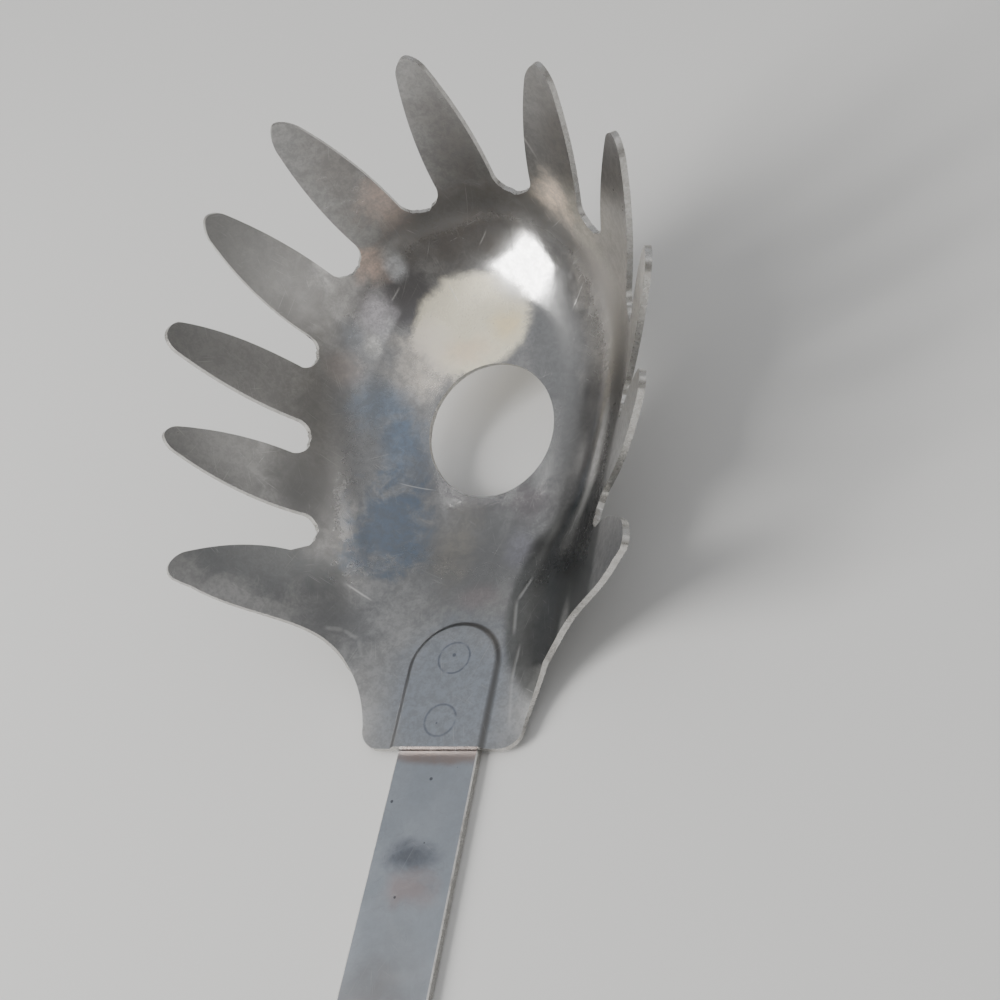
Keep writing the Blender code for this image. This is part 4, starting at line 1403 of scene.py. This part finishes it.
class BrushedStrap(Steel):
    """Bluish strap, faintly brushed along its length, with a dark brown band where it comes out of the neck."""

    FINISH = Finish("brushed_strap", (0.385, 0.42, 0.465), 0.30)
    DEPTH = 0.000010
    SCRATCH_DENSITY = 0.5
    SPECK_SCALE = 700.0
    CLOUD_TINT = (0.25, (0.33, 0.35, 0.38))
    RIM_TINT = (0.20, (0.25, 0.25, 0.26))
    PATINA_RANGE = (0.30, 0.75, 0.35, 0.0)
    PATINA_COLOUR = (0.28, 0.29, 0.31)
    SPECK_TINT = (0.7, (0.06, 0.06, 0.07))
    SCRATCH_TINT = (0.25, (0.66, 0.68, 0.71))
    CLOUD_AND_GRAIN_ROUGHNESS = (0.08, 0.06)
    SCRATCH_AND_SPECK_LIFT = (-0.5, -1.5)
    GRAIN_LIFT = 0.35
    PIT = (0.0, 0.0565, 0.0015)
    PIT_RADIUS = 0.00034
    PIT_CORE = 0.6

    def wire(self) -> None:
        """Wire the material."""
        graph = self.graph
        grain = self.effect(Effect.GRAIN, self.place)["Height"]
        lines = self.effect(Effect.SCRATCHES, self.place, Density=self.SCRATCH_DENSITY)["Lines"]
        marks = self.effect(Effect.BLOTCHES, self.place)
        mottle = self.effect(Effect.MOTTLE, self.place)["Mottle"]
        specks = self.effect(Effect.SPECKS, self.place, Scale=self.SPECK_SCALE)["Specks"]
        from_pit = graph.vector("DISTANCE", self.place, self.PIT)
        pit = graph.remap(from_pit, self.PIT_RADIUS, self.PIT_RADIUS * self.PIT_CORE)
        specks = graph.math("MAXIMUM", specks, pit)
        colour = self.tinted(self.FINISH.colour, marks["Cloud"], *self.CLOUD_TINT)
        colour, _, _ = self.lay_tint_patches(colour, STRAP_TINTS)
        colour = self.tinted(colour, marks["Rims"], *self.RIM_TINT)
        colour = graph.mix(graph.remap(mottle, *self.PATINA_RANGE), colour, self.PATINA_COLOUR)
        colour = self.tinted(colour, specks, *self.SPECK_TINT)
        colour = self.tinted(colour, lines, *self.SCRATCH_TINT)
        rough = graph.blend((marks["Cloud"], grain), self.CLOUD_AND_GRAIN_ROUGHNESS)
        grooves = graph.blend((lines, specks), self.SCRATCH_AND_SPECK_LIFT)
        height = graph.total(graph.product(grain, self.GRAIN_LIFT), grooves)
        self.finish_with(colour, rough, height, self.DEPTH)


def panel(name: str, corners: Array, paint: str, look: dict[str, object]) -> Object:
    """Make a flat panel with a plain material.

    Args:
        name: Its name.
        corners: Its corners, one a row.
        paint: Name of its material.
        look: Values of the shader's inputs.

    Returns:
        The panel.
    """
    mesh = bpy.data.meshes.new(name)
    mesh.from_pydata(corners.tolist(), [], [tuple(range(len(corners)))])
    material = bpy.data.materials.new(paint)
    material.use_nodes = True
    graph = Graph(material.node_tree)
    for socket, value in look.items():
        graph.feed(graph.tree.nodes["Principled BSDF"].inputs[socket], value)
    mesh.materials.append(material)
    return placed(name, mesh)


@dataclass(frozen=True)
class Softbox:
    """A rectangular area lamp that faces the bowl. Its glow is the radiance of its face."""

    name: str
    heading: float
    height: float
    width: float
    length: float
    glow: float
    colour: Triple
    distance: float = 0.9

    def build(self) -> None:
        """Hang the lamp: its power is its glow times pi times its area."""
        lamp = bpy.data.lights.new(self.name, "AREA")
        lamp.shape = "RECTANGLE"
        lamp.size = self.width
        lamp.size_y = self.length
        lamp.energy = self.glow * np.pi * self.width * self.length
        lamp.color = self.colour
        away = Vector(sighted(self.heading, self.height)) * self.distance
        item = placed(self.name, lamp)
        item.location = Vector(BOWL_MIDDLE) + away
        item.rotation_euler = (-away).to_track_quat("-Z", "Y").to_euler()


@dataclass(frozen=True)
class WindowPane:
    """A leaning window that glows: the bowl mirrors it as the photo's bright kite.

    Its corners are headings and heights in degrees, as seen from the bowl.
    """

    corners: tuple[Pair, ...] = ((-132.0, 7.0), (-115.0, 26.0), (-99.0, 59.0), (-145.0, 43.0))
    distance: float = 0.9
    glow: float = 12.5
    colour: Triple = (1.0, 0.99, 0.97)

    def build(self) -> None:
        """Make the pane as a quad that emits light."""
        corners = sighted(*np.array(self.corners).T) * self.distance + BOWL_MIDDLE
        look = {"Base Color": (0.0, 0.0, 0.0), "Emission Color": self.colour, "Emission Strength": self.glow}
        pane = panel("window", corners, "window_glow", look)
        pane.visible_camera = False


@dataclass(frozen=True)
class Studio:
    """Pale floor, soft world light and lamps."""

    floor_half: float = 3.0
    floor_colour: Triple = (0.80, 0.795, 0.78)
    floor_roughness: float = 0.8
    floor_specular: float = 0.1
    floor_drop: float = 0.0002
    horizon_colour: Triple = (1.0, 0.98, 0.95)
    zenith_colour: Triple = (0.95, 0.97, 1.0)
    horizon_glow: float = 0.30
    zenith_glow: float = 0.56
    dome_lean: float = 0.45
    dome_edge: Pair = (0.30, 0.95)
    lamps: tuple[Softbox, ...] = (
        Softbox("far_wall", 112.0, 38.0, 0.76, 0.66, 0.44, (0.97, 0.98, 1.0)),
        Softbox("near_wall", -76.0, 12.0, 0.80, 0.50, 0.25, (1.0, 0.98, 0.95)),
    )

    def build(self) -> None:
        """Make the floor, the world and the lamps."""
        square = np.array([(-1.0, -1.0, 0.0), (1.0, -1.0, 0.0), (1.0, 1.0, 0.0), (-1.0, 1.0, 0.0)])
        look = {"Base Color": self.floor_colour, "Roughness": self.floor_roughness,
                "Specular IOR Level": self.floor_specular}
        floor = panel("floor", square * self.floor_half - (0.0, 0.0, self.floor_drop), "floor_paint", look)
        self.dome()
        WindowPane().build()
        for lamp in self.lamps:
            lamp.build()

    def dome(self) -> None:
        """Soft world light that brightens from the horizon to the zenith, and leans towards the teeth.

        The glow rises smoothly with the direction's height plus its lean times its share towards +Y.
        """
        world = bpy.data.worlds.new("studio")
        world.use_nodes = True
        bpy.context.scene.world = world
        graph = Graph(world.node_tree)
        heading = graph.add("TexCoord").outputs["Generated"]
        axes = graph.add("SeparateXYZ", {0: heading}).outputs
        share = graph.remap(graph.total(axes["Z"], graph.product(axes["Y"], self.dome_lean)), *self.dome_edge)
        glow = graph.total(self.horizon_glow, graph.product(share, self.zenith_glow - self.horizon_glow))
        background = world.node_tree.nodes["Background"].inputs
        graph.feed(background["Color"], graph.mix(share, self.horizon_colour, self.zenith_colour))
        graph.feed(background["Strength"], glow)


class PastaServer:
    """The whole object: head, strap and the two spot welds. A sheet is its thickness and its edge's radius."""

    SHEET = (0.0010, 0.00031)
    STRAP = (0.0015, 0.00020)

    def __init__(self) -> None:
        """Work out the sizes that the pieces share from the part's own solids."""
        neck_end, front_y = (corner[1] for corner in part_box("server_head"))
        rear, front = (corner[1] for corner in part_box("handle_strap"))
        press = Press()
        self.head = PressedHead("server_head.pressed", *self.SHEET, press, Rim(press), front_y=front_y)
        self.strap = StrapHandle("handle_strap.flat", *self.STRAP, front, neck_end, rear)

    def build(self) -> None:
        """Build every piece, give it its materials and tie it to the root."""
        effects = EffectLibrary()
        looks = {Layer.CUT_EDGE: ShearedEdgeWithPaintedHighlight(effects).material, Layer.CORNER: CornerWithPaintedHighlight(effects).material}
        dressed = (self.head, "server_head", PolishedSheet), (self.strap, "handle_strap", BrushedStrap)
        for piece, node, face in dressed:
            item = piece.build()
            looks[Layer.FACE] = face(effects).material
            for layer in Layer:
                item.data.materials.append(looks[layer])
            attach(item, "root")
            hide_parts(node)
            LOG.info("%s replaces %s", item.name, node)
        fused = FusedSteel(effects).material
        for name in ("front_spot_weld", "rear_spot_weld"):
            bpy.data.objects[name].material_slots[0].material = fused


def main() -> None:
    """Build the object and the studio, and note the sizes."""
    logging.basicConfig(level=logging.INFO, format="%(name)s: %(message)s")
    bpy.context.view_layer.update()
    PastaServer().build()
    PhotoCamera().build()
    Studio().build()


if __name__ == "__main__":
    main()
